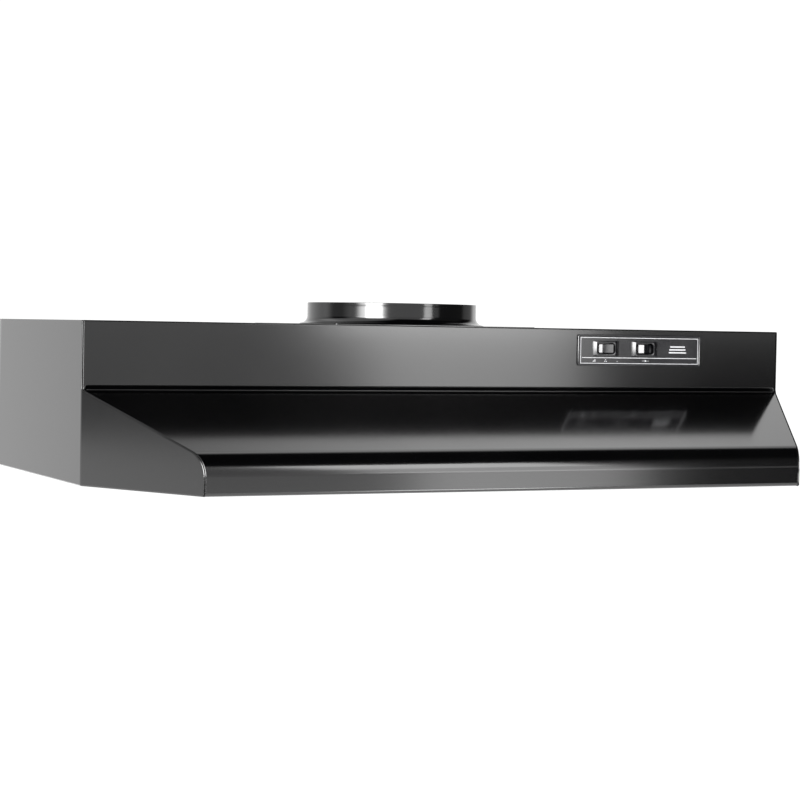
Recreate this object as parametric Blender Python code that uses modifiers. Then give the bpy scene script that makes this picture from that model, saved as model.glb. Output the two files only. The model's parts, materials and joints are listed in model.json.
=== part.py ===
"""Ducted under cabinet range hood, 762 mm wide, built as separate sheet metal pieces and fittings.

Frame: +X to the right as seen from the front, the front faces -Y, +Z up. The origin is the middle of the top
face's rear edge, so the wall is the plane y = 0 and the cabinet's underside is the plane z = 0. Metres.
"""

import math

import bmesh
import bpy
from mathutils import Vector

# Driving dimensions
WIDTH = 0.762
HEIGHT = 0.1524
BODY_DEPTH = 0.3016
VISOR_REACH = 0.1429
LIP_HALF = 0.31195
SHEET = 0.0008
GAP = 0.0003
SEAM = 0.0005
HEM = 0.010

# Front profile: panel, fold, visor and nose
PANEL_BOTTOM = -0.0598
VISOR_TOP = -0.06425
FOLD_DEPTH = 0.003
VISOR_SLOPE = 0.381
NOSE_RADIUS = 0.0238
BEND_RADIUS = 0.0015

# Duct collar and damper
COLLAR_Y = -0.148
COLLAR_R = 0.088
COLLAR_TOP = 0.0229
COLLAR_WALL = 0.0008
FLARE_RADIUS = 0.007
PLATE_HALF = 0.112
TOP_HOLE_R = 0.0885
ROD_R = 0.0015
ROD_Z = 0.011
FLAP_R = 0.0845

# Fan box, filter and light
PLENUM_X = 0.128
PLENUM_FRONT = -0.252
PLENUM_BOTTOM = -0.096
FILTER_HALF = 0.13335
FILTER_Y = (-0.257, -0.0347)
FILTER_Z = (-0.1065, -0.097)
FILTER_PIVOT = (-0.036, -0.104)
LAMP_LO = Vector((0.165, -0.266, -0.098))
LAMP_HI = Vector((0.335, -0.168, -0.0011))
BULB_Y = -0.2165
BULB_Z = -0.0655
SHAFT_R = 0.003

# Controls, as heights below the top and distances right of the middle
PLATE_X = (0.1377, 0.2842)
PLATE_Z = (-0.0378, -0.0057)
FAN_FRAME_X = (0.155, 0.1857)
LIGHT_FRAME_X = (0.201, 0.2318)
FAN_ROCKER_X = (0.1623, 0.1816)
LIGHT_ROCKER_X = (0.2084, 0.2286)
FRAME_Z = (-0.0278, -0.0122)
ROCKER_Z = (-0.0251, -0.0163)
PLATE_PROUD = 0.0016
LIGHT_REST = 9.0
FRAME_PROUD = 0.0034
FRONT_Y = -BODY_DEPTH

# Wiring
WIRE_R = 0.002
GROMMET_R = 0.0045
SCREW_HOLE_R = 0.0024
BOX_LO = Vector((0.200, -0.110, -0.060))
BOX_HI = Vector((0.330, -0.003, -0.0011))
CABLE_X = 0.265
CABLE_Z = -0.030

COLORS = {
    "black_enamel": ((0.012, 0.012, 0.013, 1), 0.22, 0.0),
    "galvanized": ((0.62, 0.63, 0.64, 1), 0.38, 1.0),
    "aluminium": ((0.80, 0.80, 0.80, 1), 0.34, 1.0),
    "steel": ((0.55, 0.55, 0.56, 1), 0.30, 1.0),
    "copper": ((0.72, 0.32, 0.16, 1), 0.35, 1.0),
    "black_plastic": ((0.015, 0.015, 0.016, 1), 0.35, 0.0),
    "lens": ((0.92, 0.93, 0.92, 1), 0.30, 0.0),
    "bulb": ((0.96, 0.95, 0.92, 1), 0.25, 0.0),
    "ceramic": ((0.90, 0.88, 0.84, 1), 0.40, 0.0),
    "black_wire": ((0.02, 0.02, 0.02, 1), 0.50, 0.0),
    "brass": ((0.75, 0.58, 0.28, 1), 0.30, 1.0),
    "yellow_plastic": ((0.85, 0.62, 0.08, 1), 0.45, 0.0),
}


def clear_scene():
    for obj in list(bpy.data.objects):
        bpy.data.objects.remove(obj, do_unlink=True)


def new_collection(name):
    collection = bpy.data.collections.new(name)
    bpy.context.scene.collection.children.link(collection)
    return collection


clear_scene()
PARTS = new_collection("range_hood")
CUTTERS = new_collection("range_hood_cutters")


# ---------------------------------------------------------------- helpers

def material(name, slot):
    color, roughness, metallic = COLORS[slot]
    mat = bpy.data.materials.new(name)
    mat.use_nodes = True
    shader = mat.node_tree.nodes["Principled BSDF"]
    shader.inputs["Base Color"].default_value = color
    shader.inputs["Roughness"].default_value = roughness
    shader.inputs["Metallic"].default_value = metallic
    mat.diffuse_color = color
    return mat


def add_object(name, mesh, slot=None, location=(0, 0, 0)):
    """Link a mesh as a sub-part when it has a finish, and as a cutter when it has none."""
    obj = bpy.data.objects.new(name, mesh)
    obj.location = location
    if slot:
        PARTS.objects.link(obj)
        mesh.materials.append(material(name, slot))
    else:
        CUTTERS.objects.link(obj)
        obj.hide_render = True
        obj.display_type = "WIRE"
    return obj


def mesh_from(bm, name):
    mesh = bpy.data.meshes.new(name)
    bm.to_mesh(mesh)
    bm.free()
    return mesh


def box(name, lo, hi, slot=None, bevel=0.0, segments=2):
    """A block between two corners, with its origin at its middle."""
    lo, hi = Vector(lo), Vector(hi)
    bm = bmesh.new()
    bmesh.ops.create_cube(bm, size=1.0)
    bmesh.ops.scale(bm, vec=hi - lo, verts=bm.verts)
    if bevel:
        bmesh.ops.bevel(bm, geom=bm.edges[:], offset=bevel, segments=segments, affect="EDGES", profile=0.5)
    return add_object(name, mesh_from(bm, name), slot, (lo + hi) / 2)


def rod(name, start, end, radius, slot=None, sides=24):
    """A round bar from one point to another."""
    start, end = Vector(start), Vector(end)
    bm = bmesh.new()
    bmesh.ops.create_cone(bm, cap_ends=True, segments=sides, radius1=radius, radius2=radius,
                          depth=(end - start).length)
    turn = (end - start).to_track_quat("Z", "Y").to_matrix().to_4x4()
    bmesh.ops.transform(bm, matrix=turn, verts=bm.verts)
    obj = add_object(name, mesh_from(bm, name), slot, (start + end) / 2)
    if slot:
        smooth(obj)
    return obj


def smooth(obj, degrees=35):
    obj.data.shade_smooth()
    obj.data.set_sharp_from_angle(angle=math.radians(degrees))


def turned(name, profile, location, slot=None, axis="Z", steps=32):
    """A closed outline of (radius, height) points turned about an axis through location."""
    bm = bmesh.new()
    verts = [bm.verts.new((r, 0.0, h)) for r, h in profile]
    closed = profile[0][0] > 0 or profile[-1][0] > 0
    for a, b in zip(verts, verts[1:] + (verts[:1] if closed else [])):
        bm.edges.new((a, b))
    obj = add_object(name, mesh_from(bm, name), slot, location)
    screw = obj.modifiers.new("turn", "SCREW")
    screw.steps = steps
    screw.render_steps = steps
    screw.use_merge_vertices = True
    screw.merge_threshold = 0.00001
    if axis == "X":
        obj.rotation_euler = (0, math.pi / 2, 0)
    return obj


def freeze(obj):
    """Apply the modifiers, so that the mesh itself holds the shape."""
    depsgraph = bpy.context.evaluated_depsgraph_get()
    depsgraph.update()
    mesh = bpy.data.meshes.new_from_object(obj.evaluated_get(depsgraph))
    obj.modifiers.clear()
    obj.data = mesh
    return obj


def boolean(obj, others, operation="DIFFERENCE"):
    for other in others:
        step = obj.modifiers.new(other.name, "BOOLEAN")
        step.operation = operation
        step.solver = "EXACT"
        step.object = other
    return obj


def sheet(name, verts, faces, slot, thickness=SHEET):
    """Thin sheet metal: the faces are its outer side and the metal lies behind them."""
    mesh = bpy.data.meshes.new(name)
    mesh.from_pydata([Vector(v) for v in verts], [], faces)
    obj = add_object(name, mesh, slot)
    shell = obj.modifiers.new("sheet", "SOLIDIFY")
    shell.thickness = thickness
    shell.offset = -1
    shell.use_even_offset = True
    return obj


def strip(name, left, right, slot, thickness=SHEET):
    """A sheet between two matching lists of points."""
    count = len(left)
    faces = [(i, i + 1, count + i + 1, count + i) for i in range(count - 1)]
    return sheet(name, left + right, faces, slot, thickness)


def open_box(name, lo, hi, slot, open_sides, thickness=SHEET):
    """A sheet metal box between two corners, without the sides that are named."""
    (x0, y0, z0), (x1, y1, z1) = lo, hi
    corners = [(x0, y0, z0), (x1, y0, z0), (x1, y1, z0), (x0, y1, z0),
               (x0, y0, z1), (x1, y0, z1), (x1, y1, z1), (x0, y1, z1)]
    sides = {"bottom": (3, 2, 1, 0), "top": (4, 5, 6, 7), "front": (0, 1, 5, 4),
             "right": (1, 2, 6, 5), "rear": (2, 3, 7, 6), "left": (3, 0, 4, 7)}
    faces = [face for side, face in sides.items() if side not in open_sides]
    return sheet(name, corners, faces, slot, thickness)


def flat(name, outline, thickness, location, slot, rotation=(0, 0, 0), holes=()):
    """A flat piece cut to an outline, lying in its own XY plane about its middle thickness."""
    curve = bpy.data.curves.new(name, "CURVE")
    curve.dimensions = "2D"
    curve.fill_mode = "BOTH"
    curve.extrude = thickness / 2
    for ring in (outline, *holes):
        spline = curve.splines.new("POLY")
        spline.points.add(len(ring) - 1)
        for point, (x, y) in zip(spline.points, ring):
            point.co = (x, y, 0, 1)
        spline.use_cyclic_u = True
    guide = bpy.data.objects.new(name + "_outline", curve)
    CUTTERS.objects.link(guide)
    depsgraph = bpy.context.evaluated_depsgraph_get()
    depsgraph.update()
    mesh = bpy.data.meshes.new_from_object(guide.evaluated_get(depsgraph))
    bpy.data.objects.remove(guide, do_unlink=True)
    bm = bmesh.new()
    bm.from_mesh(mesh)
    bmesh.ops.remove_doubles(bm, verts=bm.verts, dist=0.00001)
    bmesh.ops.recalc_face_normals(bm, faces=bm.faces)
    bm.to_mesh(mesh)
    bm.free()
    obj = add_object(name, mesh, slot, location)
    obj.rotation_euler = rotation
    return obj


def arc(cx, cy, radius, start, end, steps):
    """Points along an arc, the angles in degrees."""
    angles = [math.radians(start + (end - start) * i / steps) for i in range(steps + 1)]
    return [(cx + radius * math.cos(a), cy + radius * math.sin(a)) for a in angles]


def rounded_rectangle(half_x, half_y, radius, steps=3):
    corners = ((1, 1, 0), (-1, 1, 90), (-1, -1, 180), (1, -1, 270))
    points = []
    for sx, sy, angle in corners:
        points += arc(sx * (half_x - radius), sy * (half_y - radius), radius, angle, angle + 90, steps)
    return points


def wire(name, points, radius, slot, bevel_resolution=2):
    """A lead along a smooth route through its own points."""
    route = smooth_route([Vector(p) for p in points])
    curve = bpy.data.curves.new(name, "CURVE")
    curve.dimensions = "3D"
    curve.bevel_depth = radius
    curve.bevel_resolution = bevel_resolution
    curve.use_fill_caps = True
    spline = curve.splines.new("POLY")
    spline.points.add(len(route) - 1)
    for point, co in zip(spline.points, route):
        point.co = (*co, 1)
    obj = bpy.data.objects.new(name, curve)
    PARTS.objects.link(obj)
    curve.materials.append(material(name, slot))
    return obj


def smooth_route(points, between=3):
    """Catmull-Rom points through the given ones."""
    route = []
    for i in range(len(points) - 1):
        p0 = points[max(i - 1, 0)]
        p1, p2 = points[i], points[i + 1]
        p3 = points[min(i + 2, len(points) - 1)]
        for k in range(between):
            t = k / between
            route.append(0.5 * (2 * p1 + (p2 - p0) * t + (2 * p0 - 5 * p1 + 4 * p2 - p3) * t * t
                                + (3 * p1 - p0 - 3 * p2 + p3) * t ** 3))
    return route + [points[-1]]


# ---------------------------------------------------------------- outer shell

def visor_z(y):
    return VISOR_TOP + VISOR_SLOPE * (y - FRONT_Y)


def front_profile():
    """The outer side from the top's front bend to the hem, as (y, z) points."""
    lip_y = FRONT_Y - VISOR_REACH
    slope = math.atan(VISOR_SLOPE)
    corner_z = visor_z(lip_y)
    tangent = NOSE_RADIUS * math.tan((math.pi / 2 - slope) / 2)
    centre_y = lip_y + NOSE_RADIUS
    centre_z = corner_z - tangent
    top_bend = arc(FRONT_Y + BEND_RADIUS, -BEND_RADIUS, BEND_RADIUS, 90, 180, 3)
    fold = [(FRONT_Y, PANEL_BOTTOM + 0.0008), (FRONT_Y + 0.0008, PANEL_BOTTOM),
            (FRONT_Y + FOLD_DEPTH, PANEL_BOTTOM - 0.0012), (FRONT_Y + FOLD_DEPTH, VISOR_TOP + 0.0016)]
    visor = [(FRONT_Y + 0.0006, VISOR_TOP + 0.0004), (FRONT_Y - 0.001, visor_z(FRONT_Y - 0.001))]
    nose = arc(centre_y, centre_z, NOSE_RADIUS, 90 + math.degrees(slope), 180, 8)
    hem = [(lip_y, -HEIGHT), (lip_y + HEM, -HEIGHT)]
    return top_bend + fold + visor + nose + hem


def mitre_half(y):
    """Half of the hood's outer width at a depth: straight at the rear, drawn in towards the lip."""
    reach = max(0.0, FRONT_Y - y) / VISOR_REACH
    return WIDTH / 2 - (WIDTH / 2 - LIP_HALF) * min(reach, 1.0)


def keyhole(name, x, y):
    """A hanging hole: a round entry for the screw's head with a narrow slot behind it."""
    entry = rod(name + "_entry", (x, y, -0.004), (x, y, 0.004), 0.0055, sides=16)
    slot = box(name + "_slot", (x - 0.0025, y, -0.0041), (x + 0.0025, y + 0.014, 0.0041))
    return [entry, slot]


def make_wrap():
    rear = [(0.0, 0.0)]
    profile = rear + front_profile()
    inset = SHEET + SEAM
    right = [(mitre_half(y) - inset, y, z) for y, z in profile]
    left = [(-x, y, z) for x, y, z in right]
    wrap = strip("hood_wrap", left, right, "black_enamel")
    cutters = [rod("top_hole", (0, COLLAR_Y, -0.004), (0, COLLAR_Y, 0.004), TOP_HOLE_R, sides=48)]
    for x_range, tag in ((FAN_ROCKER_X, "fan"), (LIGHT_ROCKER_X, "light")):
        middle = sum(x_range) / 2
        cutters.append(box(tag + "_window", (middle - 0.0125, FRONT_Y - 0.004, FRAME_Z[0] + 0.0005),
                           (middle + 0.0125, FRONT_Y + 0.004, FRAME_Z[1] - 0.0005)))
    for tag, x in (("left", -0.30), ("right", 0.30)):
        cutters += keyhole(tag + "_front_keyhole", x, -0.272)
    cutters += keyhole("left_rear_keyhole", -0.30, -0.040)
    cutters += keyhole("right_rear_keyhole", 0.355, -0.040)
    boolean(wrap, cutters)


def make_end_panel(name, side):
    """One side sheet: a straight rear run, then a front run bent inward along a vertical fold."""
    half = WIDTH / 2
    lip_y = FRONT_Y - VISOR_REACH
    outline = [(y, z) for y, z in front_profile()[:-2]]
    front_edge = [(mitre_half(y), y, z) for y, z in outline if y < FRONT_Y - 0.0005]
    step = [(half, FRONT_Y, z) for z in (0.0, VISOR_TOP)]
    lip_bottom = (LIP_HALF, lip_y, -HEIGHT)
    fold_bottom = (half, FRONT_Y, -HEIGHT)
    rear_bottom, rear_top = (half, 0.0, -HEIGHT), (half, 0.0, 0.0)
    bend = math.atan2(half - LIP_HALF, VISOR_REACH)
    shift = HEM * math.tan(bend / 2)
    end_y = lip_y + 0.014
    flange_tip = (mitre_half(end_y), end_y, -HEIGHT)
    inner_tip = (mitre_half(end_y) - HEM / math.cos(bend), end_y, -HEIGHT)
    inner_fold = (half - HEM, FRONT_Y - shift, -HEIGHT)
    inner_rear = (half - HEM, -0.012, -HEIGHT)
    rear_corner = (half, -0.012, -HEIGHT)
    verts = [rear_top, rear_bottom, rear_corner, fold_bottom, step[1], step[0],
             *front_edge, lip_bottom, flange_tip, inner_tip, inner_fold, inner_rear]
    first = 6
    last = first + len(front_edge)
    lip, tip, in_tip, in_fold, in_rear = last, last + 1, last + 2, last + 3, last + 4
    faces = [(0, 5, 4, 3, 2, 1),
             (4, *range(first, last), lip, tip, 3),
             (2, 3, in_fold, in_rear),
             (3, tip, in_tip, in_fold)]
    verts = [(side * x, y, z) for x, y, z in verts]
    if side > 0:
        faces = [tuple(reversed(face)) for face in faces]
    faces = [tuple(reversed(face)) for face in faces]
    sheet(name, verts, faces, "black_enamel")


def make_back():
    half = WIDTH / 2 - SHEET - 2 * SEAM
    top = -SHEET - GAP
    left = [(-half, 0.0, top), (-half, 0.0, -HEIGHT), (-half, -HEM, -HEIGHT)]
    right = [(half, y, z) for _, y, z in left]
    back = strip("back_panel", right, left, "black_enamel")
    outlet = box("rear_outlet", (-0.127, -0.004, -0.092), (0.127, 0.004, -0.0095))
    inlet = rod("cable_hole", (CABLE_X, -0.004, CABLE_Z), (CABLE_X, 0.004, CABLE_Z), 0.011)
    boolean(back, [outlet, inlet])
    y = -SHEET - GAP - SHEET / 2
    flat("rear_outlet_cover", rounded_rectangle(0.134, 0.0465, 0.004), SHEET, (0, y, -0.0508), "galvanized",
         rotation=(math.pi / 2, 0, 0))


# ---------------------------------------------------------------- duct collar and damper

def make_collar():
    ring = arc(0, 0, TOP_HOLE_R, 0, 352.5, 47)
    flat("duct_plate", rounded_rectangle(PLATE_HALF, PLATE_HALF, 0.006), SHEET,
         (0, COLLAR_Y, GAP + SHEET / 2), "black_enamel", holes=[ring])
    base = GAP + SHEET + GAP
    wall = COLLAR_WALL
    flare = FLARE_RADIUS
    outer = [(COLLAR_R, COLLAR_TOP), *arc(COLLAR_R + flare, base + wall + flare, flare, 180, 270, 4),
             (COLLAR_R + flare + 0.004, base + wall)]
    inner = [(COLLAR_R + flare + 0.004, base),
             *arc(COLLAR_R + flare, base + flare + wall, flare + wall, 270, 180, 4), (COLLAR_R - wall, COLLAR_TOP)]
    collar = freeze(turned("duct_collar", outer + inner, (0, COLLAR_Y, 0), "black_enamel", steps=44))
    pivots = [rod(f"rod_hole_{tag}", (x0, COLLAR_Y, ROD_Z), (x1, COLLAR_Y, ROD_Z), ROD_R + 0.0004, sides=16)
              for tag, x0, x1 in (("left", -0.1, -0.08), ("right", 0.08, 0.1))]
    boolean(collar, pivots)
    smooth(collar)


def half_flap(name, knuckles):
    """The front half of the damper disc, hung on the rod by rolled knuckles."""
    clear = 0.0036
    start = math.degrees(math.asin(clear / FLAP_R))
    rim = arc(0, 0, FLAP_R, start, 180 - start, 24)
    notch = ROD_R + 0.0005
    tabs = []
    for x in knuckles:
        tabs += [(x - 0.006, clear), (x - 0.006, notch), (x + 0.006, notch), (x + 0.006, clear)]
    outline = [(x, -y) for x, y in rim + tabs]
    plate = flat(name, outline, SHEET, (0, COLLAR_Y, ROD_Z), "galvanized")
    barrels = [rod(f"{name}_barrel_{i}", (x - 0.0055, COLLAR_Y, ROD_Z), (x + 0.0055, COLLAR_Y, ROD_Z), 0.0030,
                   sides=20) for i, x in enumerate(knuckles)]
    boolean(plate, barrels, "UNION")
    bore = rod(name + "_bore", (-0.09, COLLAR_Y, ROD_Z), (0.09, COLLAR_Y, ROD_Z), ROD_R + 0.0003, sides=20)
    return freeze(boolean(plate, [bore]))


def make_damper():
    rod("damper_rod", (-0.0883, COLLAR_Y, ROD_Z), (0.0883, COLLAR_Y, ROD_Z), ROD_R, "steel", sides=16)
    front = half_flap("damper_flap_front", (-0.062, 0.030))
    rear = add_object("damper_flap_rear", front.data.copy(), "galvanized", front.location)
    rear.rotation_euler.z = math.pi
    top = ROD_Z - SHEET / 2 - GAP
    reach = COLLAR_R - COLLAR_WALL - GAP
    for name, side in (("damper_stop_front", -1), ("damper_stop_rear", 1)):
        outer = COLLAR_Y + side * (reach - 0.0006)
        inner = COLLAR_Y + side * (FLAP_R - 0.005)
        y0, y1 = sorted((outer, inner))
        box(name, (-0.007, y0, top - 0.0012), (0.007, y1, top), "galvanized")


# ---------------------------------------------------------------- controls

def make_switch_plate():
    cx = sum(PLATE_X) / 2
    cz = sum(PLATE_Z) / 2
    half_x = (PLATE_X[1] - PLATE_X[0]) / 2
    half_z = (PLATE_Z[1] - PLATE_Z[0]) / 2
    y = FRONT_Y - GAP - PLATE_PROUD / 2
    plate = flat("switch_plate", rounded_rectangle(half_x, half_z, 0.0022), PLATE_PROUD, (cx, y, cz),
                 "black_plastic", rotation=(math.pi / 2, 0, 0))
    windows = [box(tag + "_plate_window", (x[0] - GAP, y - 0.004, FRAME_Z[0] - GAP),
                   (x[1] + GAP, y + 0.004, FRAME_Z[1] + GAP))
               for tag, x in (("fan", FAN_FRAME_X), ("light", LIGHT_FRAME_X))]
    boolean(plate, windows)


def make_switch(tag, x_range, rocker_x, tilt):
    """A snap-in rocker switch: a raised frame, a rocker that tips left and right, a body behind."""
    middle = sum(x_range) / 2
    cz = sum(FRAME_Z) / 2
    half_x = (x_range[1] - x_range[0]) / 2
    half_z = (FRAME_Z[1] - FRAME_Z[0]) / 2
    back = FRONT_Y - GAP
    front = FRONT_Y - GAP - FRAME_PROUD
    frame = box(tag + "_switch_frame", (middle - half_x, front, cz - half_z),
                (middle + half_x, back, cz + half_z), "black_plastic")
    for vert in frame.data.vertices:
        if vert.co.y < 0:
            vert.co.x *= 1 - 0.0022 / half_x
            vert.co.z *= 1 - 0.0016 / half_z
    pivot_x = sum(rocker_x) / 2
    half_w = (rocker_x[1] - rocker_x[0]) / 2
    half_h = (ROCKER_Z[1] - ROCKER_Z[0]) / 2
    rocker_z = sum(ROCKER_Z) / 2
    opening = box(tag + "_opening", (pivot_x - half_w - 0.0012, front - 0.002, rocker_z - half_h - 0.0006),
                  (pivot_x + half_w + 0.0012, back + 0.002, rocker_z + half_h + 0.0006))
    boolean(frame, [opening])

    pivot = bpy.data.objects.new(tag + "_rocker_pivot", None)
    pivot.location = (pivot_x, FRONT_Y + 0.0010, rocker_z)
    pivot.rotation_euler = (0, 0, math.radians(tilt))
    PARTS.objects.link(pivot)
    depth = 0.0034
    face = [(-half_w, -depth - 0.0012), (-half_w * 0.35, -depth + 0.0002), (half_w * 0.35, -depth + 0.0002),
            (half_w, -depth - 0.0012), (half_w * 0.9, 0.0), (half_w * 0.35, 0.0028), (-half_w * 0.35, 0.0028),
            (-half_w * 0.9, 0.0)]
    rocker = flat(tag + "_rocker", face, 2 * half_h, (0, 0, 0), "black_plastic")
    rocker.parent = pivot

    rear = FRONT_Y + 0.0255
    body = box(tag + "_switch_body", (pivot_x - 0.0124, FRONT_Y + 0.0013, FRAME_Z[0] + 0.001),
               (pivot_x + 0.0124, rear, FRAME_Z[1] - 0.001), "black_plastic")
    pocket = box(tag + "_pocket", (pivot_x - 0.0112, FRONT_Y, ROCKER_Z[0] - 0.0006),
                 (pivot_x + 0.0112, FRONT_Y + 0.0085, ROCKER_Z[1] + 0.0006))
    boolean(body, [pocket])


# ---------------------------------------------------------------- fan

def make_plenum():
    """Three walls round the fan, with an outward flange below for the filter to close against."""
    top, bottom, x, front = -SHEET - GAP, PLENUM_BOTTOM, PLENUM_X, PLENUM_FRONT
    rear = -0.0045
    lip = 0.008
    inner = [(x, rear), (x, front), (-x, front), (-x, rear)]
    outer = [(x + lip, rear), (x + lip, front - lip), (-x - lip, front - lip), (-x - lip, rear)]
    verts = [(a, b, top) for a, b in inner] + [(a, b, bottom) for a, b in inner]
    verts += [(a, b, bottom) for a, b in outer]
    faces = [(i + 1, i, i + 4, i + 5) for i in range(3)]
    faces += [(i + 5, i + 4, i + 8, i + 9) for i in range(3)]
    plenum = sheet("plenum_box", verts, faces, "galvanized")
    hole = rod("motor_lead_hole", (PLENUM_X - 0.004, -0.090, -0.062), (PLENUM_X + 0.004, -0.090, -0.062),
               GROMMET_R)
    boolean(plenum, [hole])


def make_venturi():
    top = -SHEET - GAP
    wall = 0.001
    throat, bell, flange, low = 0.0878, 0.008, 0.102, -0.034
    centre = (throat + bell, top - wall - bell)
    outer = [(flange, top), (flange, top - wall), *arc(*centre, bell, 90, 180, 3), (throat, low)]
    inner = [(throat - wall, low), *arc(*centre, bell + wall, 180, 90, 3)]
    turned("venturi_ring", outer + inner, (0, COLLAR_Y, 0), "galvanized", steps=36)


def make_motor():
    half = PLENUM_X - GAP - 0.0015
    strap_z = -0.0905
    reach = 0.016
    section = [(-half, strap_z + reach), (-half, strap_z), (half, strap_z), (half, strap_z + reach)]
    near = [(x, COLLAR_Y - reach, z) for x, z in section]
    far = [(x, COLLAR_Y + reach, z) for x, z in section]
    bracket = strip("motor_bracket", near, far, "galvanized", 0.0015)
    seat = rod("motor_seat_hole", (0, COLLAR_Y, strap_z - 0.004), (0, COLLAR_Y, strap_z + 0.004), 0.006)
    screw_z = -0.081
    screw_outline = [(0, 0.0030), (0.0030, 0.0024), (0.0042, 0.0), (0.0020, 0.0), (0.0020, -0.0012),
                     (0, -0.0012)]
    screws = []
    for tag, side in (("left", -1), ("right", 1)):
        x = side * half
        screws.append(rod(f"bracket_hole_{tag}", (x - 0.004, COLLAR_Y, screw_z),
                          (x + 0.004, COLLAR_Y, screw_z), SCREW_HOLE_R, sides=16))
        screw = turned("bracket_screw_" + tag, screw_outline, (x - side * GAP, COLLAR_Y, screw_z), "steel",
                       steps=16)
        screw.rotation_euler = (0, -side * math.pi / 2, 0)
    boolean(bracket, [seat, *screws])

    turned("motor_end_cap_lower", [(0.0175, -0.0800), (0.0175, -0.0875), (0.012, -0.0902), (0, -0.0902),
                                   (0, -0.0882), (SHAFT_R + 0.0004, -0.0882), (SHAFT_R + 0.0004, -0.0845),
                                   (0.012, -0.0838), (0.0160, -0.0800)], (0, COLLAR_Y, 0), "aluminium")
    turned("motor_end_cap_upper", [(SHAFT_R + 0.0002, -0.0440), (0.009, -0.0440), (0.012, -0.0470),
                                   (0.0175, -0.0500), (0.0175, -0.0557), (0.0160, -0.0557), (0.0160, -0.0512),
                                   (SHAFT_R + 0.0002, -0.0480)], (0, COLLAR_Y, 0), "aluminium")
    stator = box("motor_stator", (-0.031, COLLAR_Y - 0.027, -0.0797), (0.043, COLLAR_Y + 0.027, -0.0560),
                 "steel", 0.002, 1)
    bore = rod("rotor_bore", (0, COLLAR_Y, -0.09), (0, COLLAR_Y, -0.05), 0.0128)
    window = box("coil_window", (0.0180, COLLAR_Y - 0.0130, -0.09), (0.0345, COLLAR_Y + 0.0130, -0.05))
    boolean(stator, [bore, window])
    coil = box("motor_coil", (0.0183, COLLAR_Y - 0.0127, -0.0850), (0.0342, COLLAR_Y + 0.0127, -0.0510),
               "copper", 0.003)
    coil.data.shade_smooth()
    turned("motor_rotor", [(0.0122, -0.0575), (0.0122, -0.0782), (SHAFT_R + GAP, -0.0782),
                           (SHAFT_R + GAP, -0.0575)], (0, COLLAR_Y, 0), "aluminium")
    rod("motor_shaft", (0, COLLAR_Y, -0.0878), (0, COLLAR_Y, -0.0130), SHAFT_R, "steel")


def make_blade():
    """A stamped five-blade wheel: a flat hub disc with twisted vanes joined to it."""
    hub_z, hub_r, tip_r, vanes = -0.0290, 0.026, 0.0825, 5
    boss_r, boss_half, disc_half = 0.0075, 0.006, 0.0006
    outline = [(boss_r, hub_z + boss_half), (boss_r, hub_z + disc_half), (hub_r, hub_z + disc_half),
               (hub_r, hub_z - disc_half), (boss_r, hub_z - disc_half), (boss_r, hub_z - boss_half),
               (SHAFT_R + GAP, hub_z - boss_half), (SHAFT_R + GAP, hub_z + boss_half)]
    hub = freeze(turned("fan_blade", outline, (0, COLLAR_Y, 0), "aluminium", steps=40))
    cutters = []
    for number in range(vanes):
        turn = 2 * math.pi * number / vanes
        rows, columns = 5, 4
        bm = bmesh.new()
        grid = []
        for row in range(rows):
            radius = 0.021 + (tip_r - 0.021) * row / (rows - 1)
            sweep = math.radians(20 + 8 * row / (rows - 1))
            pitch = math.radians(2 + 26 * min(1.0, row / (rows - 2)))
            line = []
            for column in range(columns):
                share = 2 * column / (columns - 1) - 1
                angle = turn + sweep * share
                height = radius * sweep * share * math.tan(pitch)
                height = max(-0.0105, min(0.0105, height))
                line.append(bm.verts.new((radius * math.cos(angle), radius * math.sin(angle), hub_z + height)))
            grid.append(line)
        for row in range(rows - 1):
            for column in range(columns - 1):
                bm.faces.new((grid[row][column], grid[row + 1][column], grid[row + 1][column + 1],
                              grid[row][column + 1]))
        vane = add_object(f"vane_{number}", mesh_from(bm, f"vane_{number}"), None, (0, COLLAR_Y, 0))
        shell = vane.modifiers.new("sheet", "SOLIDIFY")
        shell.thickness = 0.0010
        shell.offset = 0
        cutters.append(vane)
    boolean(hub, cutters, "UNION")
    bore = (SHAFT_R + GAP) / math.cos(math.pi / 6)
    turned("blade_nut", [(bore, -0.0185), (0.0052, -0.0185), (0.0060, -0.0195), (0.0060, -0.0227),
                         (bore, -0.0227)], (0, COLLAR_Y, 0), "steel", steps=6)


# ---------------------------------------------------------------- filter

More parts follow.
